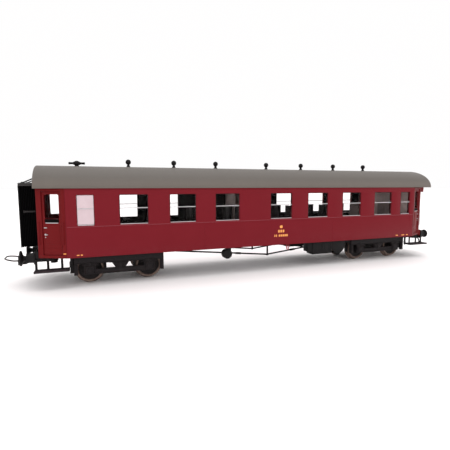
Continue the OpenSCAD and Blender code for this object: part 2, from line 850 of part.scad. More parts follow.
module front_coupler() { coupler(); }
module rear_coupler() { mirror([1, 0, 0]) coupler(); }
module front_bow() { bow(); }
module rear_bow() { mirror([1, 0, 0]) bow(); }

underframe();
side_sills();
centre_sills();
cross_members();
ballast_weight();
interior_floor();
seats();
partitions();
tables();
right_side_wall();
left_side_wall();
front_entrance();
rear_entrance();
entrance_doors();
gangway_doors();
roof();
roof_vents();
torpedo_vent();
right_window_glass();
left_window_glass();
toilet_glass();
door_glass();
right_window_frames();
left_window_frames();
buffer_beams();
buffer_sleeves();
buffer_heads();
rear_bellows();
bellows_cap();
front_gangway();
footboards();
drain_pipes();
truss_rods();
dynamo();
battery_boxes();
brake_hangers();
bogie_pivots();
coupler_mounts();
rear_bogie_frame();
front_bogie_frame();
rear_bogie_brakes();
front_bogie_brakes();
wheels_1();
wheels_2();
wheels_3();
wheels_4();
axle_1();
axle_2();
axle_3();
axle_4();
rear_coupler();
front_coupler();
rear_bow();
front_bow();
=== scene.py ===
import json
import math

import bmesh
import bpy
from mathutils import Matrix, Vector
from mathutils.geometry import tessellate_polygon


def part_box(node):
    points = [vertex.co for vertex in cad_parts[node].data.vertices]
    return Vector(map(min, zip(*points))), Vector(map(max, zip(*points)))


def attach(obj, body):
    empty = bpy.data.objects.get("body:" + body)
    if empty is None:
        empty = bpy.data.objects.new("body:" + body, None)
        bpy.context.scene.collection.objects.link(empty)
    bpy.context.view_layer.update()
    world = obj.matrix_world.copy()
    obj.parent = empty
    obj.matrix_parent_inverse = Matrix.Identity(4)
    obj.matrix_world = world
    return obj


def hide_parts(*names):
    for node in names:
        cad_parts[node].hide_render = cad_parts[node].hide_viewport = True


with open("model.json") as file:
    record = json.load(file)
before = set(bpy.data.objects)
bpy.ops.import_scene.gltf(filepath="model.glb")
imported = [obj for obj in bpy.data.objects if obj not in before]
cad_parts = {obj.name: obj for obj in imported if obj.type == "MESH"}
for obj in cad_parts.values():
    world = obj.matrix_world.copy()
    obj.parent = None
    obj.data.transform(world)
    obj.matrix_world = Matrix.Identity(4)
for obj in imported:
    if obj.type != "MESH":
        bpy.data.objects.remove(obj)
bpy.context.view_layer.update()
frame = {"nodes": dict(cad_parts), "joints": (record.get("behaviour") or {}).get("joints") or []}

MM = 0.001  # one millimetre of the model, in Blender's metres
RIGHT, LEFT = -1, 1  # sides, as signs of Y
REAR, FRONT = -1, 1  # ends, as signs of X
CORNERS = [(end, side) for end in (REAR, FRONT) for side in (RIGHT, LEFT)]
HANDS = ((RIGHT, "right"), (LEFT, "left"))
COACH = "coach"
scene = bpy.context.scene


# ---------- reading the frame, in millimetres ----------

def box(node):
    low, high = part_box(node)
    return Vector(low) / MM, Vector(high) / MM


def merged(node):
    """A copy of a CAD node's mesh with its loose triangles joined up."""
    bm = bmesh.new()
    bm.from_mesh(frame["nodes"][node].data)
    bmesh.ops.scale(bm, vec=(1 / MM,) * 3, verts=bm.verts)
    bmesh.ops.remove_doubles(bm, verts=bm.verts, dist=0.003)
    return bm


def islands(node):
    """The box of each separate solid of a CAD node, from the rear to the front."""
    bm = merged(node)
    waiting, boxes = set(bm.verts), []
    while waiting:
        group, edge = [], [waiting.pop()]
        while edge:
            vert = edge.pop()
            group.append(vert.co)
            near = {link.other_vert(vert) for link in vert.link_edges} & waiting
            waiting -= near
            edge.extend(near)
        low = Vector([min(co[i] for co in group) for i in range(3)])
        high = Vector([max(co[i] for co in group) for i in range(3)])
        boxes.append((low, high))
    bm.free()
    return sorted(boxes, key=lambda pair: (round(pair[0].x, 2), pair[0].y))


def joint(name):
    found = next(j for j in frame["joints"] if j["name"] == name)
    return Vector(found["pos_m"]) / MM


wall_low, wall_high = box("right_side_wall")
roof_low, roof_high = box("roof")
SIDE_X = wall_high.x
HALF_W = -wall_low.y
WALL_T = wall_high.y - wall_low.y
SILL_Z = wall_low.z
EAVE_Z = wall_high.z
END_X = -box("rear_entrance")[0].x
END_Y = box("buffer_beams")[1].y
ROOF_X = roof_high.x
REAR_ROOF_X = -roof_low.x
CROWN_Z = roof_high.z
DECK_Z = box("underframe")[1].z
BEAM_X = box("buffer_beams")[1].x
PIVOT_X = joint("front_bogie_swivel").x
AXLE_Z = joint("wheelset_1_spin").z
WINDOWS = islands("right_window_frames")
TAPER = math.atan2(HALF_W - END_Y, END_X - SIDE_X)
TAPER_L = math.hypot(HALF_W - END_Y, END_X - SIDE_X)


# ---------- shader maths ----------

class Num:
    """A number socket that Python's operators work on."""

    def __init__(self, finish, socket):
        self.finish, self.socket = finish, socket

    def maths(self, operation, *others):
        node = self.finish.node("ShaderNodeMath", {"operation": operation}, self, *others)
        return Num(self.finish, node.outputs[0])

    def __add__(self, other):
        return self.maths("ADD", other)

    def __sub__(self, other):
        return self.maths("SUBTRACT", other)

    def __mul__(self, other):
        return self.maths("MULTIPLY", other)

    def __rsub__(self, other):
        return (self * -1) + other

    __radd__, __rmul__ = __add__, __mul__

    def step(self, low, high):
        """0 below low, 1 above high, smooth between."""
        settings = {"interpolation_type": "SMOOTHSTEP", "clamp": True}
        node = self.finish.node("ShaderNodeMapRange", settings, self, low, high, 0, 1)
        return Num(self.finish, node.outputs[0])


class Finish:
    """One procedural material and the record's slot it belongs to."""

    def __init__(self, name, slot):
        self.slot = slot
        self.material = bpy.data.materials.new(name)
        self.material.use_nodes = True
        self.tree = self.material.node_tree
        self.tree.nodes.clear()
        self.shader = self.node("ShaderNodeBsdfPrincipled")
        self.output = self.node("ShaderNodeOutputMaterial")
        self.tree.links.new(self.shader.outputs[0], self.output.inputs[0])
        self.place = self.node("ShaderNodeTexCoord").outputs["Object"]

    def node(self, kind, settings=None, *values, **named):
        """A node with its settings made first, then its inputs by order or by name."""
        node = self.tree.nodes.new(kind)
        for key, value in (settings or {}).items():
            setattr(node, key, value)
        for key, value in [*enumerate(values), *named.items()]:
            self.feed(node.inputs[key], value)
        return node

    def feed(self, socket, value):
        value = getattr(value, "socket", value)
        if isinstance(value, bpy.types.NodeSocket):
            self.tree.links.new(value, socket)
        elif value is not None:
            socket.default_value = value

    def set(self, **sockets):
        for key, value in sockets.items():
            self.feed(self.shader.inputs[key.replace("_", " ")], value)

    def axis(self, letter):
        """One coordinate of the surface point, in millimetres."""
        split = self.node("ShaderNodeSeparateXYZ", None, self.place)
        return Num(self, split.outputs[letter]) * (1 / MM)

    def noise(self, size, detail=3, stretch=(1, 1, 1)):
        """Noise between 0 and 1 whose lumps are about size millimetres."""
        made = self.node("ShaderNodeTexNoise", None, self.spot(size, stretch), Scale=1, Detail=detail,
                         Roughness=0.55)
        return Num(self, made.outputs[0])

    def grit(self, size):
        """Grains about size millimetres across, 0 at their middles."""
        return Num(self, self.node("ShaderNodeTexVoronoi", None, self.spot(size), Scale=1).outputs[0])

    def spot(self, size, stretch=(1, 1, 1)):
        """The surface point, scaled so that size millimetres count as 1."""
        return self.node("ShaderNodeMapping", None, self.place,
                         Scale=[s / (size * MM) for s in stretch]).outputs[0]

    def blend(self, amount, low, high):
        """A colour between low and high, as far as amount says."""
        node = self.node("ShaderNodeMix", {"data_type": "RGBA", "clamp_factor": True})
        for socket, value in zip((node.inputs[0], node.inputs[6], node.inputs[7]), (amount, low, high)):
            self.feed(socket, (*value, 1) if isinstance(value, tuple) and len(value) == 3 else value)
        return node.outputs[2]

    def relief(self, height, depth):
        """A bump of depth millimetres."""
        return self.node("ShaderNodeBump", None, Strength=1, Distance=depth * MM, Height=height).outputs[0]


def rgb(red, green, blue):
    """A display colour of 0 to 255 a channel as the linear colour that shaders use."""
    def linear(value):
        value /= 255
        return value / 12.92 if value <= 0.04045 else ((value + 0.055) / 1.055) ** 2.4
    return linear(red), linear(green), linear(blue)


# ---------- finishes ----------

def satin_paint(name, slot, colour, worn, rough=0.38, dust=0.05):
    """Printed satin colour: fine orange peel, faint cloudiness and a little dust near the lower edge."""
    f = Finish(name, slot)
    cloud = f.noise(9, 4)
    fine = f.noise(0.35, 2)
    height = f.axis("Z")
    low_dust = (1 - height.step(SILL_Z, SILL_Z + 5)) * f.noise(2.5, 5).step(0.35, 0.75) * dust
    colour = f.blend((cloud - 0.5) * 0.7 + 0.35, colour, worn)
    colour = f.blend(low_dust, colour, rgb(120, 92, 88))
    f.set(Base_Color=colour, Roughness=rough + (fine - 0.5) * 0.12 + low_dust * 0.5,
          Normal=f.relief(fine, 0.004), Coat_Weight=0.01, Coat_Roughness=0.3, Specular_IOR_Level=0.07)
    return f


def matt_roof(name, slot, colour, light):
    """Sprayed matt grey with fine grain, faint streaks down the slopes, soft lighter patches and painted
    shade that darkens the upper roof.
    """
    f = Finish(name, slot)
    grain = f.noise(0.22, 3)
    streaks = f.noise(3, 4, stretch=(1, 0.18, 0.18))
    patches = f.noise(22, 3)
    mixed = f.blend((streaks - 0.5) * 0.5 + (patches - 0.5) * 0.6 + 0.4, colour, light)
    mixed = f.blend((grain - 0.5) * 0.5 + 0.1, mixed, rgb(70, 64, 60))
    # painted shade: darker from a little above the eaves up over the crown
    painted_top_shade = f.axis("Z").step(EAVE_Z + 1.5, EAVE_Z + 5) * 0.55
    mixed = f.blend(painted_top_shade, mixed, rgb(72, 67, 62))
    f.set(Base_Color=mixed, Roughness=0.62 + (grain - 0.5) * 0.2, Normal=f.relief(grain, 0.012))
    return f


def moulded_black(name, slot, colour=rgb(15, 12, 13), light=rgb(46, 40, 38), dust=0.12, rough=0.55,
                  shine=0.2):
    """Moulded plastic: fine spark texture, and a paler colour on what faces up that is partly pale dust and
    partly painted highlight.
    """
    f = Finish(name, slot)
    spark = f.grit(0.16)
    cloud = f.noise(3.5, 5)
    facing = f.node("ShaderNodeNewGeometry").outputs["Normal"]
    up = Num(f, f.node("ShaderNodeSeparateXYZ", None, facing).outputs["Z"])
    # paler in cloudy patches of dust, and on upward faces partly dust and partly a painted highlight; dust
    # sets the amount of both
    dust_and_painted_highlight = up.step(0.2, 0.95) * dust + cloud.step(0.5, 0.8) * dust * 0.5
    f.set(Base_Color=f.blend(dust_and_painted_highlight, colour, light), Roughness=rough + (cloud - 0.5) * 0.25,
          Normal=f.relief(spark, 0.008), Specular_IOR_Level=shine)
    return f


def turned_metal(name, slot, colour, dark, rough=0.34, rings=0.09, shine=0.85):
    """Turned metal with fine rings about its own axle and brown tarnish in patches."""
    f = Finish(name, slot)
    tarnish = f.noise(1.6, 5).step(0.35, 0.75)
    brush = f.noise(rings, 2, stretch=(1, 0.15, 1))
    f.set(Base_Color=f.blend(tarnish * 0.75, colour, dark), Metallic=shine - tarnish * 0.3,
          Roughness=rough + tarnish * 0.25 + (brush - 0.5) * 0.1, Normal=f.relief(brush, 0.003))
    return f


def silver_ink(name, slot, colour=rgb(196, 194, 196)):
    """Silver printed on raised edges, slightly patchy."""
    f = Finish(name, slot)
    patch = f.noise(0.6, 3)
    f.set(Base_Color=f.blend(patch.step(0.45, 0.8) * 0.5, colour, rgb(150, 146, 150)), Metallic=0.55,
          Roughness=0.34 + (patch - 0.5) * 0.2, Normal=f.relief(patch, 0.004))
    return f


def window_clear(name, slot, tint=rgb(60, 58, 60), alpha=0.03):
    """Clear plastic glazing with a faint haze that is a little uneven."""
    f = Finish(name, slot)
    haze = f.noise(4, 3)
    f.set(Base_Color=(*tint, 1), Alpha=alpha + (haze - 0.5) * 0.02, Roughness=0.06 + (haze - 0.5) * 0.06)
    return f


def window_frosted(name, slot):
    """White etched glazing: nearly opaque, with a soft fine texture."""
    f = Finish(name, slot)
    etch = f.grit(0.25)
    cloud = f.noise(3, 3)
    f.set(Base_Color=f.blend(cloud, rgb(206, 184, 189), rgb(220, 200, 205)), Alpha=0.9, Roughness=0.55,
          Normal=f.relief(etch, 0.01))
    return f


def seat_cloth(name, slot, colour=rgb(26, 13, 13), light=rgb(44, 24, 22), paler_past_x=None):
    """Moulded brown seats painted to look like worn plush."""
    f = Finish(name, slot)
    nap = f.noise(0.3, 3)
    wear = f.noise(4, 4)
    colour = f.blend(wear.step(0.4, 0.8) * 0.6 + (nap - 0.5) * 0.3, colour, light)
    # seats past the given X along the coach are paler grey-pink
    if paler_past_x:
        colour = f.blend(f.axis("X").step(*paler_past_x) * 0.9, colour, rgb(150, 132, 128))
    f.set(Base_Color=colour, Roughness=0.8, Normal=f.relief(nap, 0.02))
    return f


def gold_ink(name, slot):
    """Thin gold print, a little uneven where the ink is thin."""
    f = Finish(name, slot)
    thin = f.noise(0.25, 3)
    f.set(Base_Color=f.blend(thin.step(0.45, 0.8) * 0.6, rgb(244, 164, 84), rgb(204, 112, 44)),
          Roughness=0.45,
          Metallic=0.2)
    return f


SIDE_RED = satin_paint("side_crimson", "side_paint", rgb(110, 22, 31), rgb(117, 28, 37))
END_RED = satin_paint("entrance_crimson", "entrance_paint", rgb(101, 17, 20), rgb(108, 22, 25))
ROOF_GREY = matt_roof("roof_grey", "roof_paint", rgb(97, 89, 82), rgb(108, 100, 93))
CAP_GREY = matt_roof("cap_grey", "cap_paint", rgb(26, 23, 23), rgb(38, 34, 33))
BLACK = moulded_black("underframe_black", "black_plastic")
BELLOWS_BLACK = moulded_black("bellows_black", "black_plastic", rgb(4, 3, 4), rgb(12, 10, 11), dust=0.1,
                              rough=0.8,
                              shine=0.08)
# its large dust amount is mostly a painted highlight on the frames' upward faces
BOGIE_BLACK = moulded_black("bogie_black", "black_plastic", rgb(24, 18, 20), rgb(84, 74, 70), dust=0.3)
WIRE = turned_metal("bow_wire", "bow_wire", rgb(62, 56, 56), rgb(40, 36, 36), rough=0.4)
STEEL = turned_metal("axle_steel", "steel", rgb(170, 166, 160), rgb(110, 96, 84))
WHEEL = turned_metal("wheel_brown", "wheel_metal", rgb(120, 102, 92), rgb(82, 64, 56), rough=0.5, shine=0.45)
SILVER = silver_ink("silver_frames", "silver_print")
GOLD = gold_ink("gold_marks", "silver_print")
CLEAR = window_clear("clear_panes", "clear_glass")
FROSTED = window_frosted("frosted_panes", "frosted_glass")
SEAT = seat_cloth("seat_brown", "seat_plastic", paler_past_x=(54, 57))
WALL_BROWN = seat_cloth("partition_brown", "seat_plastic", rgb(48, 34, 30), rgb(74, 54, 46))
BALLAST = turned_metal("ballast_steel", "ballast_steel", rgb(120, 116, 112), rgb(96, 80, 70), rough=0.5)

# The waist bead is painted a lighter pink than the side, as a painted highlight along it.
BEAD_HIGHLIGHT = satin_paint("waist_bead_painted_highlight", "side_paint", rgb(128, 52, 60), rgb(134, 62, 68))
SEAL_RED = moulded_black("window_seal", "black_plastic", rgb(52, 14, 18), rgb(66, 22, 26), dust=0.1)
PARTITION_GREY = seat_cloth("partition_grey", "seat_plastic", rgb(206, 186, 182), rgb(222, 206, 200))
# A near-black sheet inside the side walls: painted shade for the dim inside of the coach.
INNER_SHADE_SHEET = seat_cloth("painted_shade_sheet", "seat_plastic", rgb(14, 8, 9), rgb(24, 15, 15))
STRAP_GREY = moulded_black("strap_grey", "black_plastic", rgb(40, 37, 37), rgb(60, 56, 55), dust=0.2,
                           rough=0.6)
STEP_GREY = moulded_black("step_grey", "black_plastic", rgb(42, 33, 36), rgb(64, 55, 57), dust=0.2,
                          rough=0.6)
DISC = moulded_black("wheel_disc_dark", "wheel_metal", rgb(26, 20, 20), rgb(54, 42, 37), dust=0.3,
                     rough=0.55)
LEVER_RED = satin_paint("lever_red", "side_paint", rgb(188, 60, 66), rgb(176, 66, 70), dust=0)
PLATE_WHITE = window_frosted("plate_white", "frosted_glass")


# ---------- mesh tools, in millimetres ----------

def make_object(name, bm, material, sharp=35):
    """Turns a mesh in millimetres into an object, its edges sharp past the given angle."""
    bmesh.ops.scale(bm, vec=(MM,) * 3, verts=bm.verts)
    mesh = bpy.data.meshes.new(name)
    bm.to_mesh(mesh)
    bm.free()
    mesh.polygons.foreach_set("use_smooth", [True] * len(mesh.polygons))
    mesh.set_sharp_from_angle(angle=math.radians(sharp))
    mesh.materials.append(material)
    return linked(name, mesh)


def linked(name, mesh):
    obj = bpy.data.objects.new(name, mesh)
    scene.collection.objects.link(obj)
    return obj


def ride(obj, finish, body=COACH, replaces=()):
    """Makes an object a piece of the body, standing for the CAD nodes that it replaces."""
    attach(obj, body)
    if replaces:
        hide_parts(*replaces)


def add(name, bm, finish, body=COACH, replaces=(), sharp=35):
    """Turns a mesh in millimetres into a piece, its faces outwards."""
    bmesh.ops.dissolve_degenerate(bm, dist=1e-5, edges=bm.edges)
    bmesh.ops.recalc_face_normals(bm, faces=bm.faces)
    ride(make_object(name, bm, finish.material, sharp), finish, body, replaces)


def softened(node, width):
    """A CAD node's shape with its sharp edges rounded."""
    own = merged(node)
    bmesh.ops.dissolve_limit(own, angle_limit=math.radians(1), verts=own.verts, edges=own.edges)
    corners = [e for e in own.edges if len(e.link_faces) == 2 and e.calc_face_angle(0) > math.radians(40)]
    bevel(own, corners, width)
    return own


def join(bm, other):
    """Adds a copy of the other mesh to bm and frees the other."""
    mesh = bpy.data.meshes.new("joined")
    other.to_mesh(mesh)
    other.free()
    bm.from_mesh(mesh)
    bpy.data.meshes.remove(mesh)


def bevel(bm, edges, width, segments=2):
    bmesh.ops.bevel(bm, geom=edges, offset=width, segments=segments, profile=0.5, affect="EDGES",
                    clamp_overlap=True)


def block(bm, low, high, soft, segments=2):
    """A block between two opposite corners, its edges rounded."""
    low, high = Vector(low), Vector(high)
    size = [abs(s) for s in high - low]
    matrix = Matrix.Translation((low + high) / 2) @ Matrix.Diagonal((*size, 1))
    verts = bmesh.ops.create_cube(bm, size=1, matrix=matrix)["verts"]
    bevel(bm, list(dict.fromkeys(edge for vert in verts for edge in vert.link_edges)), soft, segments)


def frame_along(direction):
    """A rotation that turns Z to the given direction."""
    return Vector(direction).to_track_quat("Z", "Y").to_matrix().to_4x4()


def lathe(bm, profile, origin, direction=(0, 0, 1), steps=40, closed=False):
    """Turns a profile of (radius, distance along the axis) about the axis through origin."""
    matrix = Matrix.Translation(Vector(origin)) @ frame_along(direction)
    rows = []
    for radius, along in profile:
        count = 1 if radius < 1e-6 else steps
        turn = [2 * math.pi * i / steps for i in range(count)]
        rows.append([bm.verts.new(matrix @ Vector((radius * math.cos(a), radius * math.sin(a), along)))
                     for a in turn])
    pairs = list(zip(rows, rows[1:])) + ([(rows[-1], rows[0])] if closed else [])
    for a, b in pairs:
        for i in range(steps):
            corners = [a[i % len(a)], a[(i + 1) % len(a)], b[(i + 1) % len(b)], b[i % len(b)]]
            corners = list(dict.fromkeys(corners))
            if len(corners) > 2:
                bm.faces.new(corners)
    return rows


def tube(bm, points, radius, sides=10, closed=False):
    """A round rod or wire that follows the points."""
    points = [Vector(p) for p in points]
    count = len(points)
    rings, side = [], None
    for i, point in enumerate(points):
        before = points[i - 1] if i or closed else point
        after = points[(i + 1) % count] if i < count - 1 or closed else point
        along = (after - before).normalized()
        if side is None:
            side = along.orthogonal().normalized()
        side = (side - along * side.dot(along)).normalized()
        across = along.cross(side)
        turn = [2 * math.pi * k / sides for k in range(sides)]
        rings.append([bm.verts.new(point + (side * math.cos(a) + across * math.sin(a)) * radius)
                      for a in turn])
    for a, b in list(zip(rings, rings[1:])) + ([(rings[-1], rings[0])] if closed else []):
        for k in range(sides):
            bm.faces.new([a[k], a[(k + 1) % sides], b[(k + 1) % sides], b[k]])
    if not closed:
        bm.faces.new(rings[0])
        bm.faces.new(rings[-1])


def rounded(low_u, low_v, high_u, high_v, radius, steps=4):
    """The outline of a rounded rectangle as a function of how far it is drawn in."""
    def outline(inset):
        r = max(radius - inset, 0.001)
        u0, v0, u1, v1 = low_u + inset, low_v + inset, high_u - inset, high_v - inset
        corners = [(u1 - r, v1 - r, 0), (u0 + r, v1 - r, 90), (u0 + r, v0 + r, 180), (u1 - r, v0 + r, 270)]
        turns = [(u, v, math.radians(a + 90 * k / steps)) for u, v, a in corners for k in range(steps + 1)]
        return [(u + r * math.cos(a), v + r * math.sin(a)) for u, v, a in turns]
    return outline


def plate(bm, outer, holes, thickness, place, edge=0.12, back_edge=0.0):
    """A flat plate with holes and rounded face edges.

    place(u, v, depth) gives a point, with depth 0 on the face.
    """
    rings = [(edge, 0), (edge * 0.3, edge * 0.3), (0, edge)]
    rings += [(0, thickness - back_edge), (back_edge, thickness)] if back_edge else [(0, thickness)]
    loops = [(outer, 1)] + [(hole, -1) for hole in holes]
    first, last = [], []
    for outline, sign in loops:
        rows = [[bm.verts.new(place(u, v, depth)) for u, v in outline(sign * inset)]
                for inset, depth in rings]
        for a, b in zip(rows, rows[1:]):
            for k in range(len(a)):
                bm.faces.new([a[k], a[(k + 1) % len(a)], b[(k + 1) % len(a)], b[k]])
        first.append(rows[0])
        last.append(rows[-1])
    for rows, (inset, depth) in ((first, rings[0]), (last, rings[-1])):
        flat = [vert for row in rows for vert in row]
        outlines = [[Vector((u, v, 0)) for u, v in outline(sign * inset)] for outline, sign in loops]
        for triangle in tessellate_polygon(outlines):
            bm.faces.new([flat[i] for i in triangle])


def on_side(side):
    """Places plate points on a side wall: u along the coach, v up, depth inwards from the wall's face."""
    return lambda u, v, depth: Vector((u, side * (HALF_W - depth), v))


def on_taper(end, side):
    """Places plate points on a tapered wall: u from the side wall outwards, v up, depth inwards."""
    def place(u, v, depth):
        x = SIDE_X + u * math.cos(TAPER) - depth * math.sin(TAPER)
        y = HALF_W - u * math.sin(TAPER) - depth * math.cos(TAPER)
        return Vector((end * x, side * y, v))
    return place


def placed_block(bm, place, low, high, soft=0.03):
    """A block in a plate's own coordinates, its edges rounded."""
    own = bmesh.new()
    block(own, low, high, soft)
    for vert in own.verts:
        vert.co = place(*vert.co)
    join(bm, own)


def loft(bm, rings, closed=False):
    """Joins rings of as many points each; closed joins the last to the first, otherwise both are capped."""
    rows = [[bm.verts.new(point) for point in ring] for ring in rings]
    for a, b in list(zip(rows, rows[1:])) + ([(rows[-1], rows[0])] if closed else []):
        for k in range(len(a)):
            bm.faces.new([a[k], a[(k + 1) % len(a)], b[(k + 1) % len(b)], b[k]])
    if not closed:
        bm.faces.new(rows[0])
        bm.faces.new(rows[-1])
    return rows


def arc(middle, radius, start, end, steps):
    """Points of a circular arc in the XZ plane, its angles in degrees."""
    turn = [math.radians(start + (end - start) * k / steps) for k in range(steps + 1)]
    return [Vector(middle) + Vector((radius * math.cos(a), 0, radius * math.sin(a))) for a in turn]


# ---------- geometry nodes ----------

def new_tree(name, inputs):
    """A Geometry Nodes tree with an input mesh and named inputs, each (name, socket type, default)."""
    tree = bpy.data.node_groups.new(name, "GeometryNodeTree")
    tree.interface.new_socket("Geometry", in_out="INPUT", socket_type="NodeSocketGeometry")
    for label, kind, default in inputs:
        socket = tree.interface.new_socket(label, in_out="INPUT", socket_type=kind)
        if default is not None:
            socket.default_value = default
    tree.interface.new_socket("Geometry", in_out="OUTPUT", socket_type="NodeSocketGeometry")
    return tree


def tree_node(tree, kind, settings=None, **inputs):
    node = tree.nodes.new(kind)
    for key, value in (settings or {}).items():
        setattr(node, key, value)
    for key, value in inputs.items():
        socket = node.inputs[key.replace("_", " ")]
        if isinstance(value, bpy.types.NodeSocket):
            tree.links.new(value, socket)
        else:
            socket.default_value = value
    return node


def ended(tree, made, material):
    """Ends a tree in real geometry with its material."""
    real = tree_node(tree, "GeometryNodeRealizeInstances", Geometry=made.outputs[0])
    painted = tree_node(tree, "GeometryNodeSetMaterial", Geometry=real.outputs[0], Material=material)
    tree.links.new(painted.outputs[0], tree.nodes.new("NodeGroupOutput").inputs[0])
    return tree


def repeat_tree():
    """Sets one shape on every point of the input mesh, turned to the point's facing."""
    tree = new_tree("repeat_shape", [
        ("Shape", "NodeSocketObject", None),
        ("Size", "NodeSocketFloat", 1.0),
        ("Finish", "NodeSocketMaterial", None),
    ])
    given = tree.nodes.new("NodeGroupInput").outputs
    shape = tree_node(tree, "GeometryNodeObjectInfo", Object=given["Shape"])
    facing = tree_node(tree, "GeometryNodeInputNamedAttribute", {"data_type": "FLOAT_VECTOR"}, Name="facing")
    turn = tree_node(tree, "FunctionNodeAlignRotationToVector", {"axis": "Z"}, Vector=facing.outputs[0])
    placed = tree_node(tree, "GeometryNodeInstanceOnPoints", Points=given["Geometry"],
                       Instance=shape.outputs["Geometry"], Rotation=turn.outputs[0], Scale=given["Size"])
    return ended(tree, placed, given["Finish"])


def pleat_tree():
    """Pushes a tube's points in and out by a wave along X, so that it folds like a bellows."""
    tree = new_tree("pleats", [
        ("Pitch", "NodeSocketFloat", 0.001),
        ("Start", "NodeSocketFloat", 0.0),
        ("Depth", "NodeSocketFloat", 0.0005),
        ("Finish", "NodeSocketMaterial", None),
    ])
    given = tree.nodes.new("NodeGroupInput").outputs
    place = tree_node(tree, "GeometryNodeInputPosition").outputs[0]
    x = tree_node(tree, "ShaderNodeSeparateXYZ", Vector=place).outputs["X"]

    def maths(operation, a, b=0.0):
        node = tree_node(tree, "ShaderNodeMath", {"operation": operation})
        for socket, value in zip(node.inputs, (a, b)):
            if isinstance(value, bpy.types.NodeSocket):
                tree.links.new(value, socket)
            else:
                socket.default_value = value
        return node.outputs[0]

    turns = maths("DIVIDE", maths("SUBTRACT", x, given["Start"]), given["Pitch"])
    wave = maths("COSINE", maths("MULTIPLY", turns, 2 * math.pi))
    depth = maths("MULTIPLY", maths("MULTIPLY", maths("ADD", wave, -1.0), 0.5), given["Depth"])
    fold = tree_node(tree, "GeometryNodeInputNamedAttribute", {"data_type": "FLOAT_VECTOR"}, Name="outwards")
    push = tree_node(tree, "ShaderNodeVectorMath", {"operation": "SCALE"}, Vector=fold.outputs[0],
                     Scale=depth)
    moved = tree_node(tree, "GeometryNodeSetPosition", Geometry=given["Geometry"], Offset=push.outputs[0])
    return ended(tree, moved, given["Finish"])


REPEAT = repeat_tree()
PLEATS = pleat_tree()


def through_tree(source, tree, values):
    """The plain mesh that a tree makes of an object, whose own object and modifier go away."""
    modifier = source.modifiers.new("tree", "NODES")
    modifier.node_group = tree
    for item in tree.interface.items_tree:
        if item.item_type == "SOCKET" and item.in_out == "INPUT" and item.name in values:
            modifier[item.identifier] = values[item.name]
    bpy.context.view_layer.update()
    evaluated = source.evaluated_get(bpy.context.evaluated_depsgraph_get())
    mesh = bpy.data.meshes.new_from_object(evaluated)
    source.modifiers.remove(modifier)
    bpy.data.objects.remove(source)
    return mesh


def repeated(name, shape, points, finish, body=COACH, replaces=()):
    """One piece that sets a small shape at each (place, facing) of points, in millimetres."""
    seed = make_object(name + "_shape", shape, finish.material)
    mesh = bpy.data.meshes.new(name + "_points")
    mesh.from_pydata([Vector(place) * MM for place, facing in points], [], [])
    facing = mesh.attributes.new("facing", "FLOAT_VECTOR", "POINT")
    for item, (place, direction) in zip(facing.data, points):
        item.vector = direction
    made = through_tree(linked(name + "_source", mesh), REPEAT,
                        {"Shape": seed, "Size": 1.0, "Finish": finish.material})
    bpy.data.objects.remove(seed)
    made.name = name
    made.set_sharp_from_angle(angle=math.radians(35))
    ride(linked(name, made), finish, body, replaces)


def bolt(radius, height):
    """A hexagon bolt head with a chamfered top, standing on Z = 0."""
    bm = bmesh.new()
    profile = [(0, -0.05), (radius, -0.05), (radius, height * 0.7), (radius * 0.8, height), (0, height)]
    lathe(bm, profile, (0, 0, 0), steps=6)
    bmesh.ops.recalc_face_normals(bm, faces=bm.faces)
    return bm


def rivet(radius):
    """A round rivet head, standing on Z = 0."""
    bm = bmesh.new()
    turn = [math.radians(a) for a in (0, 30, 60)]
    profile = [(0, -0.05), (radius, -0.05)] + [(radius * math.cos(a), radius * 0.6 * math.sin(a))
                                               for a in turn]
    lathe(bm, profile + [(0, radius * 0.6)], (0, 0, 0), steps=8)
    bmesh.ops.recalc_face_normals(bm, faces=bm.faces)
    return bm


# ---------- camera, light and floor ----------

CAMERA_PLACE = (-0.08343, -0.17343, 0.04168)
CAMERA_FORWARD = (0.35415, 0.92887, -0.10852)
CAMERA_RIGHT = (0.93439, -0.35625, 0)
CAMERA_LENS = 29.31
ROOM_LIGHT = 1.15
LAMP_LIGHT = 1.0
LAMP_ANGLE = math.radians(60)
LAMP_TILT = (math.radians(-6), math.radians(4), 0)
TABLE_SIZE = 3000


def camera():
    """The right side from a little above, seen from near the rear end."""
    data = bpy.data.cameras.new("camera")
    data.lens = CAMERA_LENS
    data.sensor_width = 36
    data.clip_start = 0.005
    obj = bpy.data.objects.new("camera", data)
    forward = Vector(CAMERA_FORWARD).normalized()
    right = Vector(CAMERA_RIGHT).normalized()
    turned = Matrix((right, right.cross(forward), -forward)).transposed().to_4x4()
    obj.matrix_world = Matrix.Translation(CAMERA_PLACE) @ turned
    scene.collection.objects.link(obj)
    scene.camera = obj


def studio():
    """A white table in a white room, under one very wide soft lamp."""
    world = bpy.data.worlds.new("white_room")
    world.use_nodes = True
    tree = world.node_tree
    path = tree.nodes.new("ShaderNodeLightPath")
    level = tree.nodes.new("ShaderNodeMapRange")
    tree.links.new(path.outputs["Is Camera Ray"], level.inputs["Value"])
    level.inputs["To Min"].default_value = ROOM_LIGHT
    level.inputs["To Max"].default_value = 1.0
    tree.links.new(level.outputs[0], tree.nodes["Background"].inputs["Strength"])
    tree.nodes["Background"].inputs["Color"].default_value = (1.0, 0.995, 0.995, 1)
    scene.world = world
    scene.view_settings.view_transform = "Standard"

    bm = bmesh.new()
    bmesh.ops.create_grid(bm, x_segments=4, y_segments=4, size=TABLE_SIZE)
    table = Finish("white_table", None)
    blush = table.noise(300, 2)
    table.set(Base_Color=table.blend(blush, rgb(252, 246, 246), rgb(254, 252, 252)), Roughness=0.75)
    floor = make_object("table_top", bm, table.material)
    lamp = bpy.data.lights.new("wide_lamp", "SUN")
    lamp.energy = LAMP_LIGHT
    lamp.angle = LAMP_ANGLE
    linked("wide_lamp", lamp).rotation_euler = LAMP_TILT


# ---------- sides ----------

WINDOW_R = 0.4
WAIST_Z = WINDOWS[0][0].z - 0.75
SHEET_JOINTS = (-33.4, 36.1)


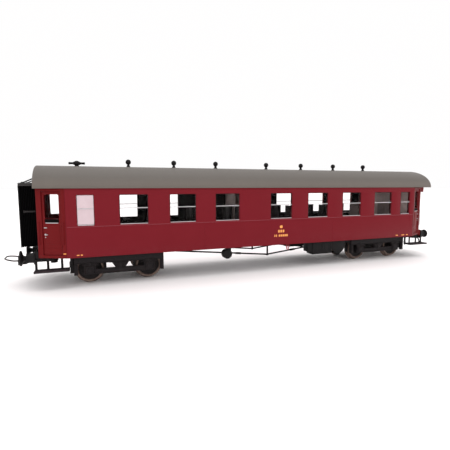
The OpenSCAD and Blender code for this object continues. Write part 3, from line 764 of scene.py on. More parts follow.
def side_panel(side, hand):
    """A printed side with rounded window openings, waist bead, cover strips and a turned-in lower edge."""
    place = on_side(side)
    bm = bmesh.new()
    outer = rounded(-SIDE_X, SILL_Z, SIDE_X, EAVE_Z, 0.05, 1)
    holes = [rounded(low.x, low.z, high.x, high.z, WINDOW_R, 5) for low, high in WINDOWS]
    plate(bm, outer, holes, WALL_T, place, edge=0.14, back_edge=0.05)
    placed_block(bm, place, (-SIDE_X + 0.2, SILL_Z + 0.02, -0.06), (SIDE_X - 0.2, SILL_Z + 0.45, 0.2), 0.05)
    for x in SHEET_JOINTS:
        placed_block(bm, place, (x - 0.2, SILL_Z + 0.5, -0.035), (x + 0.2, WAIST_Z - 0.05, 0.2), 0.03)
    placed_block(bm, place, (-SIDE_X + 0.3, EAVE_Z - 0.75, -0.08), (SIDE_X - 0.3, EAVE_Z - 0.5, 0.2), 0.06)
    add(f"{hand}_side_panel", bm, SIDE_RED, replaces=[f"{hand}_side_wall"])
    # the waist bead gets the lighter pink painted highlight
    bead = bmesh.new()
    placed_block(bead, place, (-SIDE_X + 0.4, WAIST_Z, -0.1), (SIDE_X - 0.4, WAIST_Z + 0.32, 0.2), 0.08)
    add(f"{hand}_side_waist_bead", bead, BEAD_HIGHLIGHT)


def window_rims(side, hand):
    """The bright bar of each drop light, its sloped sill, and the dark seal round each pane."""
    place = on_side(side)
    bm, seals = bmesh.new(), bmesh.new()
    for low, high in WINDOWS:
        bar = low.z + (high.z - low.z) * 0.541
        placed_block(bm, place, (low.x + 0.2, bar - 0.17, 0.02), (high.x - 0.2, bar + 0.17, 0.2), 0.07)
        sill = (low.x + 0.25, low.z - 0.1, -0.14), (high.x - 0.25, low.z + 0.16, 0.2)
        placed_block(bm, place, *sill, 0.07)
        seal = rounded(low.x + 0.02, low.z + 0.02, high.x - 0.02, high.z - 0.02, WINDOW_R, 5)
        pane = rounded(low.x + 0.22, low.z + 0.24, high.x - 0.22, high.z - 0.2, WINDOW_R - 0.15, 5)
        plate(seals, seal, [pane], 0.14, lambda u, v, d: place(u, v, d + 0.16), edge=0.04)
    add(f"{hand}_window_rims", bm, SILVER, replaces=[f"{hand}_window_frames"])
    add(f"{hand}_window_seals", seals, SEAL_RED)


def inner_shade_sheets():
    """A near-black sheet inside each side, with an opening round every window: painted shade for the dim
    inside of the walls.
    """
    for side, hand in HANDS:
        place = on_side(side)
        bm = bmesh.new()
        outer = rounded(-SIDE_X + 0.5, DECK_Z + 0.2, SIDE_X - 0.5, EAVE_Z - 0.2, 0.3, 3)
        holes = [rounded(low.x + 0.1, low.z + 0.1, high.x - 0.1, high.z - 0.1, WINDOW_R, 5)
                 for low, high in WINDOWS]
        plate(bm, outer, holes, 0.35, lambda u, v, d: place(u, v, d + WALL_T + 0.02), edge=0.05)
        add(f"{hand}_side_lining", bm, INNER_SHADE_SHEET)


def gold_marks():
    """Plain gold bars where a coach carries its lettering: a small badge, two rows and the end marks."""
    # each bar is its middle along the side, its middle height, its width and its height
    bars = [(5.65, 21.4, 1.5, 1.3)]
    bars += [(x, 19.25, 0.9, 1.35) for x in (4.4, 5.65, 6.9)]
    low_row = [(2.2, 0.5), (3.1, 0.5)] + [(x, 0.8) for x in (4.75, 5.8, 6.85, 7.9, 8.95)]
    bars += [(x, 17.1, width, 1.1) for x, width in low_row]
    end_row = ((-86.9, 1.0), (-85.5, 0.8), (79.6, 1.6), (84.0, 2.2), (87.0, 1.4))
    bars += [(x, 13.6, width, 0.42) for x, width in end_row]
    for side, hand in HANDS:
        place = on_side(side)
        bm = bmesh.new()
        for x, z, width, height in bars:
            x = x if side == RIGHT else -x
            outer = rounded(x - width / 2, z - height / 2, x + width / 2, z + height / 2,
                            min(width, height) * 0.3, 3)
            proud = -0.075 if z < 14 else -0.012
            plate(bm, outer, [], 0.1, lambda u, v, d: place(u, v, d + proud), edge=0.008)
        add(f"{hand}_gold_marks", bm, GOLD)
    bm = bmesh.new()
    for side in (RIGHT, LEFT):
        place = on_taper(REAR, side)
        outer = rounded(0.25, 14.2, 1.45, 14.6, 0.15, 3)
        plate(bm, outer, [], 0.1, lambda u, v, d: place(u, v, d - 0.012), edge=0.008)
    add("entrance_gold_marks", bm, GOLD)


# ---------- entrances and doors ----------

DOOR_LOW, DOOR_HIGH = box("entrance_doors")[0].z, box("entrance_doors")[1].z
DOOR_GLASS = box("door_glass")
DOOR_W = 8.0
DOOR_S = (TAPER_L - DOOR_W) / 2 - 0.2
DOOR_RECESS = 0.4
DOOR_WIN_W = 5.96


def door_leaf(bm, place, width, window_w, thick, handle_at):
    """A door with a rounded window, a raised middle panel, a kick plate and a drip rail."""
    low, high = DOOR_GLASS[0].z, DOOR_GLASS[1].z
    mid = width / 2
    outer = rounded(0.06, DOOR_LOW + 0.05, width - 0.06, DOOR_HIGH - 0.05, 0.3, 3)
    window = rounded(mid - window_w / 2, low, mid + window_w / 2, high, 0.6, 4)
    plate(bm, outer, [window], thick, place, edge=0.1)
    panel = rounded(mid - window_w / 2 - 0.15, DOOR_LOW + 4.4, mid + window_w / 2 + 0.15, low - 2.6, 0.3, 3)
    plate(bm, panel, [], 0.2, lambda u, v, d: place(u, v, d - 0.07), edge=0.06)
    placed_block(bm, place, (0.5, DOOR_LOW + 0.5, -0.08), (width - 0.5, DOOR_LOW + 2.9, 0.1), 0.05)
    placed_block(bm, place, (mid - window_w / 2 - 0.3, high + 0.35, -0.14),
                 (mid + window_w / 2 + 0.3, high + 0.6, 0.1),
                 0.06)
    for z in (DOOR_LOW + 3.4, DOOR_LOW + 11.5, DOOR_HIGH - 1.6):
        hinge = width - handle_at
        placed_block(bm, place, (hinge - 0.18, z - 0.5, -0.16), (hinge + 0.18, z + 0.5, 0.1), 0.08)


def entrances():
    for node in ("front_entrance", "rear_entrance"):
        add(node + "_shell", softened(node, 0.16), END_RED, replaces=[node])


def entrance_doors():
    leaves, bright, dark = bmesh.new(), bmesh.new(), bmesh.new()
    low = DOOR_GLASS[0].z
    mid = DOOR_W / 2
    grip = DOOR_W - 1.1
    handle = [(0.2, 22.05, 0.05), (0.2, 22.05, -0.3), (0, 22.05, -0.42), (-0.9, 22.0, -0.42),
              (-1.1, 22.0, -0.3)]
    for end, side in CORNERS:
        at = on_taper(end, side)

        def place(u, v, d):
            return at(u + DOOR_S, v, d + DOOR_RECESS)

        door_leaf(leaves, place, DOOR_W, DOOR_WIN_W, WALL_T - DOOR_RECESS, DOOR_W - 0.35)
        placed_block(bright, place, (mid - 2.6, low - 1.85, -0.16), (mid + 2.6, low - 1.55, 0.1), 0.07)
        placed_block(dark, place, (mid - 2.9, low - 1.5, -0.05), (mid + 2.9, low - 0.12, 0.1), 0.03)
        placed_block(bright, place, (grip - 0.8, 24.6, -0.3), (grip + 0.5, 24.95, 0.1), 0.12)
        placed_block(bright, place, (grip - 0.35, 21.7, -0.12), (grip + 0.35, 22.4, 0.1), 0.1)
        tube(bright, [place(grip + u, v, d) for u, v, d in handle], 0.13, 8)
        tube(bright, [place(grip, 20.96, 0.05), place(grip, 20.96, -0.15)], 0.2, 10)
    add("entrance_door_leaves", leaves, END_RED, replaces=["entrance_doors"])
    add("door_handles", bright, SILVER)
    add("door_droplight_slots", dark, BELLOWS_BLACK)


def gangway_doors():
    bm = bmesh.new()
    low, high = box("gangway_doors")
    glass_w = 5.0
    width = high.y - low.y
    for end in (REAR, FRONT):
        def place(u, v, d):
            return Vector((end * (high.x - d), u - width / 2, v))

        door_leaf(bm, place, width, glass_w, WALL_T - DOOR_RECESS, width - 0.4)
    add("gangway_door_leaves", bm, END_RED, replaces=["gangway_doors"])


def end_handrails():
    """Upright grab rails on both corners of each entrance, bent from thin wire."""
    bm = bmesh.new()
    low, high = 18.2, 27.0
    bends = [(low, 0.1), (low, -0.25), (low + 0.25, -0.45), (high - 0.25, -0.45), (high, -0.25), (high, 0.1)]
    for end, side in CORNERS:
        place = on_taper(end, side)
        for u in (DOOR_S * 0.45, TAPER_L - DOOR_S * 0.6):
            tube(bm, [place(u, v, d) for v, d in bends], 0.11, 8)
    add("entrance_handrails", bm, END_RED)


# ---------- roof ----------

ROOF_Y = roof_high.y
ROOF_SEGMENTS = 72


def roof():
    """A long arched roof with rounded ends, a lip along the eaves and a hollow over the saloons."""
    bm = bmesh.new()
    soft = 0.45
    turns = [math.radians(d) for d in (90, 60, 30, 0)]
    ends = [(soft * (1 - math.sin(a)), soft * (1 - math.cos(a))) for a in turns]
    stations = [(back - REAR_ROOF_X, inset) for back, inset in ends] + [(x, 0) for x in (-SIDE_X, 0, SIDE_X)]
    stations += [(ROOF_X - back, inset) for back, inset in reversed(ends)]
    lip = 0.12
    half, rise = ROOF_Y - lip, CROWN_Z - EAVE_Z

    def arch(x, y_half, z_rise, steps=ROOF_SEGMENTS):
        turn = [math.pi * k / steps for k in range(steps + 1)]
        return [bm.verts.new((x, y_half * math.cos(a), EAVE_Z + z_rise * math.sin(a))) for a in turn]

    rows = [arch(x, half - inset, rise - inset) for x, inset in stations]
    for a, b in zip(rows, rows[1:]):
        for k in range(ROOF_SEGMENTS):
            bm.faces.new([a[k], a[k + 1], b[k + 1], b[k]])
    bm.faces.new(rows[0])
    bm.faces.new(rows[-1])
    hollow = [arch(x, HALF_W - WALL_T - 0.1, rise - 1.3) for x in (-SIDE_X + 1, SIDE_X - 1)]
    for k in range(ROOF_SEGMENTS):
        bm.faces.new([hollow[0][k], hollow[0][k + 1], hollow[1][k + 1], hollow[1][k]])
    bm.faces.new(hollow[0])
    bm.faces.new(hollow[1])
    rim = [row[0] for row in rows] + [row[-1] for row in reversed(rows)]
    mouth = [hollow[0][0], hollow[1][0], hollow[1][-1], hollow[0][-1]]
    flat = rim + mouth
    for triangle in tessellate_polygon([[vert.co for vert in rim], [vert.co for vert in mouth]]):
        bm.faces.new([flat[i] for i in triangle])
    for side in (RIGHT, LEFT):
        block(bm, (0.5 - REAR_ROOF_X, side * (ROOF_Y - 0.35), EAVE_Z + 0.01),
              (ROOF_X - 0.5, side * ROOF_Y, EAVE_Z + 0.5), 0.09)
    add("roof_shell", bm, ROOF_GREY, replaces=["roof"], sharp=30)


def roof_fittings():
    """Ball ventilators over the bays and one long ventilator over the toilet."""
    vents = islands("roof_vents")
    shape = bmesh.new()
    low, high = vents[0]
    top, ball = high.z - low.z, (high.x - low.x) / 2
    middle = top - ball
    profile = [(0, -0.05), (0.9, -0.05), (0.9, 0.14), (0.84, 0.26), (0.72, 0.34), (0.62, 0.6),
               (0.52, middle - ball * 0.9)]
    profile += [(0.76, middle - ball * 0.86), (0.82, middle - ball * 0.74)]
    profile += [(ball * math.cos(math.radians(a)), middle + ball * math.sin(math.radians(a)))
                for a in range(-44, 85, 11)] + [(0, top)]
    lathe(shape, profile, (0, 0, 0), steps=28)
    bmesh.ops.recalc_face_normals(shape, faces=shape.faces)
    points = [(((a.x + b.x) / 2, 0, a.z), (0, 0, 1)) for a, b in vents]
    repeated("ball_ventilators", shape, points, BLACK, replaces=["roof_vents"])

    low, high = box("torpedo_vent")
    middle = (low.x + high.x) / 2
    axis, half = low.z + 1.25, (high.x - low.x) / 2
    bm = bmesh.new()
    lathe(bm, [(0, -0.05), (0.9, -0.05), (0.9, 0.16), (0.75, 0.3), (0.5, 0.42), (0.5, 0.9), (0, 0.9)],
          (middle, 0, low.z), steps=28)
    tip = [(0, half), (0.36, half - 0.02), (0.5, half - 0.15), (0.5, half - 0.7), (0.45, half - 0.8),
           (0.45, 1.6),
           (0.6, 1.35), (1.06, 0.4)]
    body = [(radius, -along) for radius, along in tip] + [(1.1, 0)] + tip[::-1]
    lathe(bm, body, (middle, 0, axis), (1, 0, 0), steps=28)
    add("long_ventilator", bm, BLACK, replaces=["torpedo_vent"])


# ---------- gangways ----------

PASSAGE_Y, PASSAGE_LOW, PASSAGE_TOP = 4.7, 17.9, 38.9
STRAP_Z = 31.0
STRAP_SPANS = ((-106.6, -102.4, 0.32), (-106.8, -106.3, 0.5))  # from X, to X and half the height


def pleated_tube(name, x0, x1, half, low, top, pitch, depth, replaces=()):
    """A square-cornered tube along X round the passage, folded by the pleat tree."""
    finish = BELLOWS_BLACK
    outline = rounded(-half, low, half, top, 1.0, 5)
    passage = rounded(-PASSAGE_Y, PASSAGE_LOW, PASSAGE_Y, min(PASSAGE_TOP, top - 1.4), 0.6, 5)(0)
    count = max(4, round(abs(x1 - x0) / pitch * 10))
    bm = bmesh.new()
    rings = [[Vector((x0 + (x1 - x0) * k / count, y, z)) for y, z in outline(0)] for k in range(count + 1)]
    rings += [[Vector((x, y, z)) for y, z in passage] for x in (x1, x0)]
    rows = loft(bm, rings, closed=True)
    outer = {vert for row in rows[:count + 1] for vert in row}
    push = [(Vector((0, vert.co.y, (vert.co.z - (low + top) / 2) * half / ((top - low) / 2))) / half
             if vert in outer else Vector()) for vert in bm.verts]
    bmesh.ops.recalc_face_normals(bm, faces=bm.faces)
    source = make_object(name + "_source", bm, finish.material, 60)
    outwards = source.data.attributes.new("outwards", "FLOAT_VECTOR", "POINT")
    for item, value in zip(outwards.data, push):
        item.vector = value
    mesh = through_tree(source, PLEATS, {"Pitch": pitch * MM, "Start": x0 * MM, "Depth": depth * MM,
                                         "Finish": finish.material})
    mesh.name = name
    ride(linked(name, mesh), finish, replaces=replaces)


def gangways():
    low, high = box("rear_bellows")
    over = -REAR_ROOF_X - 0.1
    under_roof = EAVE_Z - 0.25
    pleated_tube("rear_bellows_under_roof", -END_X, over, high.y, low.z, under_roof, 0.63, 0.55)
    pleated_tube("rear_bellows_outer", over, low.x + 0.35, high.y, low.z, high.z - 0.35, 0.61, 0.55,
                 ["rear_bellows"])
    fold = box("front_gangway")
    pleated_tube("front_gangway_folds", END_X, fold[1].x - 0.3, fold[1].y, fold[0].z, fold[1].z, 0.45, 0.4,
                 ["front_gangway"])

    bm = bmesh.new()
    for x, top in ((low.x + 0.34, high.z - 0.3), (fold[1].x - 0.31, fold[1].z)):
        end = math.copysign(1, x)
        face = rounded(-high.y + 0.02, low.z + 0.02, high.y - 0.02, top - 0.02, 0.8, 5)
        passage = rounded(-PASSAGE_Y, PASSAGE_LOW, PASSAGE_Y, PASSAGE_TOP if x < 0 else top - 1.4, 0.6, 5)
        plate(bm, face, [passage], 0.32, lambda u, v, d: Vector((x + end * (0.32 - d), u, v)), edge=0.08)
    for side in (RIGHT, LEFT):
        for z in (19, 25.5, 37):
            y = side * high.y * 0.8
            block(bm, (low.x + 0.02, y - 0.4, z - 0.5), (low.x + 0.2, y + 0.4, z + 0.5), 0.07)
    add("gangway_face_frames", bm, BLACK)

    strap = bmesh.new()
    for side in (RIGHT, LEFT):
        y = side * high.y
        for x0, x1, half in STRAP_SPANS:
            block(strap, (x0, y - 0.02, STRAP_Z - half), (x1, y - side * 0.5, STRAP_Z + half), 0.1)
    add("bellows_straps", strap, STRAP_GREY)


def bellows_cap():
    """A thin arched hood over the extended bellows, held by two stays from the roof's end."""
    low = box("bellows_cap")[0]
    top = box("rear_bellows")[1].z
    half = box("rear_bellows")[1].y
    front = -REAR_ROOF_X - 0.15
    bm = bmesh.new()
    across = [half * k / 12 for k in range(-12, 13)]

    def ring(x, grow):
        upper = [Vector((x, y, top + 0.62 - 0.28 * (y / half) ** 4 + grow)) for y in across]
        lower = [Vector((x, y, top + 0.02)) for y in reversed(across)]
        return upper + lower

    rows = [ring(low.x, -0.2), ring(low.x + 0.12, -0.05), ring(low.x + 0.5, 0), ring(front - 0.1, 0),
            ring(front, -0.08)]
    loft(bm, rows)
    for side in (RIGHT, LEFT):
        block(bm, (low.x + 0.1, side * (half - 0.12), top - 0.75),
              (front - 0.1, side * (half - 0.3), top + 0.3), 0.05)
    add("bellows_hood", bm, CAP_GREY)
    stays = bmesh.new()
    stay_y = half - 0.7
    for side in (RIGHT, LEFT):
        y = side * stay_y
        foot, head = Vector((low.x + 1.6, y, top + 0.45)), Vector((-REAR_ROOF_X - 0.05, y, top + 2.55))
        tube(stays, [foot, foot.lerp(head, 0.5), head], 0.25, 10)
        for end in (foot, head):
            lathe(stays, [(0, -0.24), (0.42, -0.24), (0.5, -0.1), (0.5, 0.1), (0.42, 0.24), (0, 0.24)],
                  end, (0, 1, 0), 14)
    add("bellows_stays", stays, BLACK, replaces=["bellows_cap"])


# ---------- ends ----------

head_boxes = islands("buffer_heads")
BUFFER_Z = (head_boxes[0][0].z + head_boxes[0][1].z) / 2
BUFFER_Y = abs(head_boxes[0][0].y + head_boxes[0][1].y) / 2
BUFFER_R = {end: (high.z - low.z) / 2
            for end, (low, high) in {REAR: head_boxes[0], FRONT: head_boxes[-1]}.items()}
BUFFER_REACH = head_boxes[-1][1].x - BEAM_X


def buffer(bm, end, side, sleeve):
    """A buffer's stepped sleeve, or its rod and flat head."""
    centre = Vector((end * BEAM_X, side * BUFFER_Y, BUFFER_Z))
    along = (end, 0, 0)
    reach = BUFFER_REACH
    if sleeve:
        half = 2.35
        for u in (-1, 1):
            for v in (-1, 1):
                spot = centre + Vector((end * 0.28, u * 1.95, v * 1.95))
                lathe(bm, [(0, -0.1), (0.3, -0.1), (0.3, 0.14), (0.2, 0.22), (0, 0.22)], spot, along, 6)
        low, high = centre - Vector((0, half, half)), centre + Vector((0, half, half))
        low.x, high.x = sorted((centre.x, centre.x + end * 0.35))
        block(bm, low, high, 0.12)
        profile = [(1.1, 0.2), (2.25, 0.2), (2.25, 0.6), (2.1, 0.8), (2.0, 1.2), (2.0, 2.5), (2.1, 2.6),
                   (2.1, 3.1),
                   (2.0, 3.2), (1.15, 3.2), (1.1, 3.1)]
        lathe(bm, profile, centre, along, 36, closed=True)
    else:
        rim = BUFFER_R[end]
        profile = [(0, 0.6), (0.95, 0.6), (0.95, reach - 1.9), (1.15, reach - 1.4), (1.5, reach - 1.05),
                   (rim - 0.35, reach - 0.75), (rim - 0.08, reach - 0.62), (rim, reach - 0.45),
                   (rim, reach - 0.18),
                   (rim - 0.16, reach - 0.03), (rim - 0.3, reach), (0.55, reach), (0.5, reach - 0.03),
                   (0, reach - 0.03)]
        lathe(bm, profile, centre, along, 48)


def buffers():
    for name, sleeve, node in (("buffer_sleeves_stepped", True, "buffer_sleeves"),
                               ("buffer_heads_and_rods", False, "buffer_heads")):
        bm = bmesh.new()
        for end, side in CORNERS:
            buffer(bm, end, side, sleeve)
        add(name, bm, BLACK, replaces=[node])


def buffer_beams():
    """Beams with rounded edges, a riveted face and the draw hook's plate."""
    for name, end, finish in (("rear", REAR, BLACK), ("front", FRONT, END_RED)):
        low, high = islands("buffer_beams")[0 if end == REAR else -1]
        bm = bmesh.new()
        block(bm, low, high, 0.14)
        x = end * BEAM_X
        block(bm, (x - end * 0.1, -1.7, low.z + 0.5), (x + end * 0.22, 1.7, high.z - 0.5), 0.08)
        replaces = ["buffer_beams"] if end == FRONT else []
        add(f"{name}_beam_board", bm, finish, replaces=replaces)
        ys = [k for k in range(-11, 12) if abs(abs(k) - BUFFER_Y) > 2.6 and abs(k) > 2]
        points = [((x, y, z), (end, 0, 0)) for y in ys for z in (low.z + 0.4, high.z - 0.4)]
        repeated(f"{name}_beam_rivets", rivet(0.14), points, finish)


def footboards():
    """Ribbed boards under each entrance, on flat hangers that bend under them."""
    low, high = box("footboards")
    thick = 0.8
    top = low.z + 0.8
    x0, x1 = SIDE_X - 0.8, high.x
    y1 = -low.y
    y0 = y1 - 4.5
    bm = bmesh.new()
    for end, side in CORNERS:
        xs = sorted((end * x0, end * x1))
        ys = sorted((side * y0, side * y1))
        block(bm, (xs[0], ys[0], top - thick), (xs[1], ys[1], top - 0.1), 0.12)
        for edge_y in ys:
            inner = edge_y + (0.3 if edge_y == ys[0] else -0.3)
            block(bm, (xs[0], min(edge_y, inner), top - 0.2), (xs[1], max(edge_y, inner), top), 0.06)
    add("footboard_planks", bm, STEP_GREY, replaces=["footboards"])

    slats = bmesh.new()
    block(slats, ((x0 - x1) / 2 + 0.1, -0.1, -0.03), ((x1 - x0) / 2 - 0.1, 0.1, 0.07), 0.04)
    points = []
    for end, side in CORNERS:
        middle = end * (x0 + x1) / 2
        points += [((middle, side * (y0 + 0.62 + 0.54 * k), top - 0.1), (0, 0, 1)) for k in range(7)]
    repeated("footboard_slats", slats, points, STEP_GREY)

    hangers = bmesh.new()
    for end, side in CORNERS:
        for past, rest, height in ((0.9, 0.05, SILL_Z - 0.7), (-3.4, 0.3, SILL_Z), (-8.6, 0.6, DECK_Z - 1)):
            x = end * (END_X + past)
            y = side * (y0 + rest + 0.25)
            under = top - thick - 0.02
            path = [(x, side * (y1 - 0.9), under), (x, y + side * 0.5, under),
                    (x, y + side * 0.12, under + 0.12),
                    (x, y, under + 0.5), (x, y, height - 0.02)]
            strap = [Vector(p) for p in path]
            for a, b in zip(strap, strap[1:]):
                ribbon(hangers, a, b, 0.9, 0.32)
        if end == FRONT:
            curve = arc((END_X - 3.4, side * (y0 + 0.55), top), 2.9, 0, 90, 8)
            tube(hangers, [curve[0] - Vector((0, 0, 0.1))] + curve + [curve[-1] - Vector((0.6, 0, 0))], 0.34,
                 8)
    add("footboard_hangers", hangers, BLACK)


def ribbon(bm, start, end, width, thick):
    """A flat bar between two points, its width along X."""
    along = (end - start).normalized()
    across = along.cross(Vector((1, 0, 0))).normalized() * thick / 2
    wide = Vector((width / 2, 0, 0))
    start, end = start - along * thick * 0.3, end + along * thick * 0.3
    ring = [wide + across, across - wide, -wide - across, wide - across]
    loft(bm, [[start + p for p in ring], [end + p for p in ring]])


def drain_pipes():
    bm = bmesh.new()
    for low, high in islands("drain_pipes"):
        middle = (low + high) / 2
        radius = (high.x - low.x) / 2
        lathe(bm, [(0, 0.35), (radius * 0.6, 0.35), (radius * 0.6, 0), (radius, 0), (radius, 1.1),
                   (radius * 1.28, 1.2),
                   (radius * 1.28, 1.75), (radius, 1.85), (radius, high.z - low.z), (0, high.z - low.z)],
              (middle.x, middle.y, low.z), steps=18)
    add("drain_pipes_flanged", bm, BLACK, replaces=["drain_pipes"])


# ---------- underframe ----------

POST_X = 2.3


def truss():
    """Truss rods with turnbuckles, round posts with feet, and end brackets."""
    low, high = box("truss_rods")
    end_x = high.x - 0.6
    sill = high.z
    bm = bmesh.new()
    for side in (RIGHT, LEFT):
        y = side * (high.y - 0.45)
        foot = Vector((POST_X, y, low.z + 0.4))
        tall = sill - low.z
        lathe(bm, [(0, -0.02), (0.62, -0.02), (0.62, 0.35), (0.5, 0.5), (0.44, 0.9), (0.44, tall - 0.6),
                   (0.6, tall - 0.25), (0.6, tall), (0, tall)], (POST_X, y, low.z), steps=16)
        for end in (REAR, FRONT):
            eye = Vector((end * end_x, y, sill - 0.9))
            tube(bm, [foot, eye], 0.38, 10)
            buckle = [(0, -1.6), (0.4, -1.6), (0.56, -1.3), (0.56, 1.3), (0.4, 1.6), (0, 1.6)]
            lathe(bm, buckle, foot.lerp(eye, 0.32), (eye - foot).normalized(), 6)
            xs = sorted((eye.x - 0.6, eye.x + 0.6))
            block(bm, (xs[0], y - 0.43, sill - 1.4), (xs[1], y + 0.43, sill), 0.1)
    add("truss_rods_and_posts", bm, BLACK, replaces=["truss_rods"])


def dynamo():
    """A ribbed drum with end covers, a belt wheel and its bracket."""
    low, high = box("dynamo")
    radius = 2.3
    centre_x = low.x + radius
    centre_z = low.z + radius
    bm = bmesh.new()
    length = high.y - low.y
    profile = [(0, 0), (radius * 0.45, 0), (radius * 0.5, 0.1), (radius * 0.82, 0.12), (radius * 0.96, 0.25),
               (radius, 0.4)]
    for k in range(5):
        at = 0.62 + k * 0.46
        profile += [(radius, at), (radius * 0.93, at + 0.06), (radius * 0.93, at + 0.2), (radius, at + 0.26)]
    profile += [(radius, length - 0.35), (radius * 0.9, length - 0.15), (radius * 0.4, length - 0.1),
                (0, length - 0.1)]
    lathe(bm, profile, (centre_x, low.y, centre_z), (0, 1, 0), 40)
    lathe(bm, [(0, -0.02), (0.5, -0.02), (0.6, 0.1), (0.6, 0.3), (0, 0.3)],
          (centre_x, low.y + 0.03, centre_z), (0, 1, 0), 16)
    block(bm, (centre_x - 0.5, low.y + 0.6, centre_z + 1.2), (centre_x + 1.95, high.y - 0.6, high.z), 0.18)
    add("dynamo_drum", bm, BLACK, replaces=["dynamo"])


def battery_boxes():
    """Boxes with framed lids, ribs, clasps and a smaller fuse box beside each."""
    bm = softened("battery_boxes", 0.16)
    points = []
    for low, high in islands("battery_boxes"):
        side = RIGHT if low.y < 0 else LEFT
        face = low.y if side == RIGHT else high.y
        x0 = low.x + 2.4

        def place(u, v, d):
            return Vector((u, face - side * d, v))

        for k in range(2):
            u0, u1 = x0 + 0.4 + k * 5.7, x0 + 5.9 + k * 5.7
            outer = rounded(u0, low.z + 0.5, u1, high.z - 0.6, 0.3, 3)
            inner = rounded(u0 + 0.5, low.z + 1.0, u1 - 0.5, high.z - 1.1, 0.2, 3)
            plate(bm, outer, [inner], 0.25, lambda u, v, d: place(u, v, d - 0.12), edge=0.05)
            for u in (u0 + 1.4, u1 - 1.4):
                placed_block(bm, place, (u - 0.12, low.z + 0.9, -0.08), (u + 0.12, high.z - 1.0, 0.1), 0.04)
            placed_block(bm, place, ((u0 + u1) / 2 - 0.35, low.z + 0.35, -0.2),
                         ((u0 + u1) / 2 + 0.35, low.z + 1.1, 0.1), 0.07)
            points += [(place(u, v, -0.12), (0, side, 0)) for u in (u0 + 0.25, u1 - 0.25)
                       for v in (low.z + 0.75, high.z - 0.85)]
    add("battery_box_bodies", bm, BLACK, replaces=["battery_boxes"])
    repeated("battery_box_bolts", bolt(0.13, 0.1), points, BLACK)


def brake_gear():
    """The V hangers with their cross shaft, and the parking brake's small red lever and white plate."""
    bm = softened("brake_hangers", 0.08)
    boxes = islands("brake_hangers")
    low, high = boxes[0]
    x = (low.x + high.x) / 2
    reach = max(abs(low.y), abs(boxes[-1][1].y))
    tube(bm, [(x, -reach, low.z + 0.9), (x, reach, low.z + 0.9)], 0.42, 12)
    for side in (RIGHT, LEFT):
        lathe(bm, [(0, -0.25), (0.8, -0.25), (0.8, 0.25), (0, 0.25)],
              (x, side * (reach - 0.35), low.z + 0.9), (0, 1, 0), 20)
    tube(bm, [(x, 0, low.z + 0.9), (x - 14, 0, low.z + 3.2), (x - 30, 0, low.z + 5.4)], 0.32, 8)
    add("brake_hangers_and_shaft", bm, BLACK, replaces=["brake_hangers"])
    lever, label = bmesh.new(), bmesh.new()
    for side in (RIGHT, LEFT):
        y = side * (HALF_W - 1.4)
        loop = [(9.7, 9.9), (9.45, 10.6), (9.6, 11.6), (10.1, 12.7), (10.9, 12.7), (10.9, 11.6),
                (10.95, 10.6),
                (10.7, 9.9), (10.2, 9.65)]
        tube(lever, [(x, y, z) for x, z in loop], 0.16, 8, closed=True)
        block(lever, (9.8, y - 0.22, 12.3), (11.3, y + 0.22, 12.9), 0.08)
        block(label, (9.6, y - side * 0.05 - 0.1, 9.95), (10.8, y - side * 0.05 + 0.1, 11.3), 0.08)
    add("brake_levers", lever, LEVER_RED)
    add("brake_lever_plates", label, PLATE_WHITE)


# ---------- bogies ----------

FRAME_LOW, FRAME_HIGH = box("front_bogie_frame")
FRAME_Y = FRAME_HIGH.y - 0.6
FRAME_X = (FRAME_HIGH.x - FRAME_LOW.x) / 2
WHEELBASE = (joint("wheelset_2_spin") - joint("wheelset_1_spin")).length


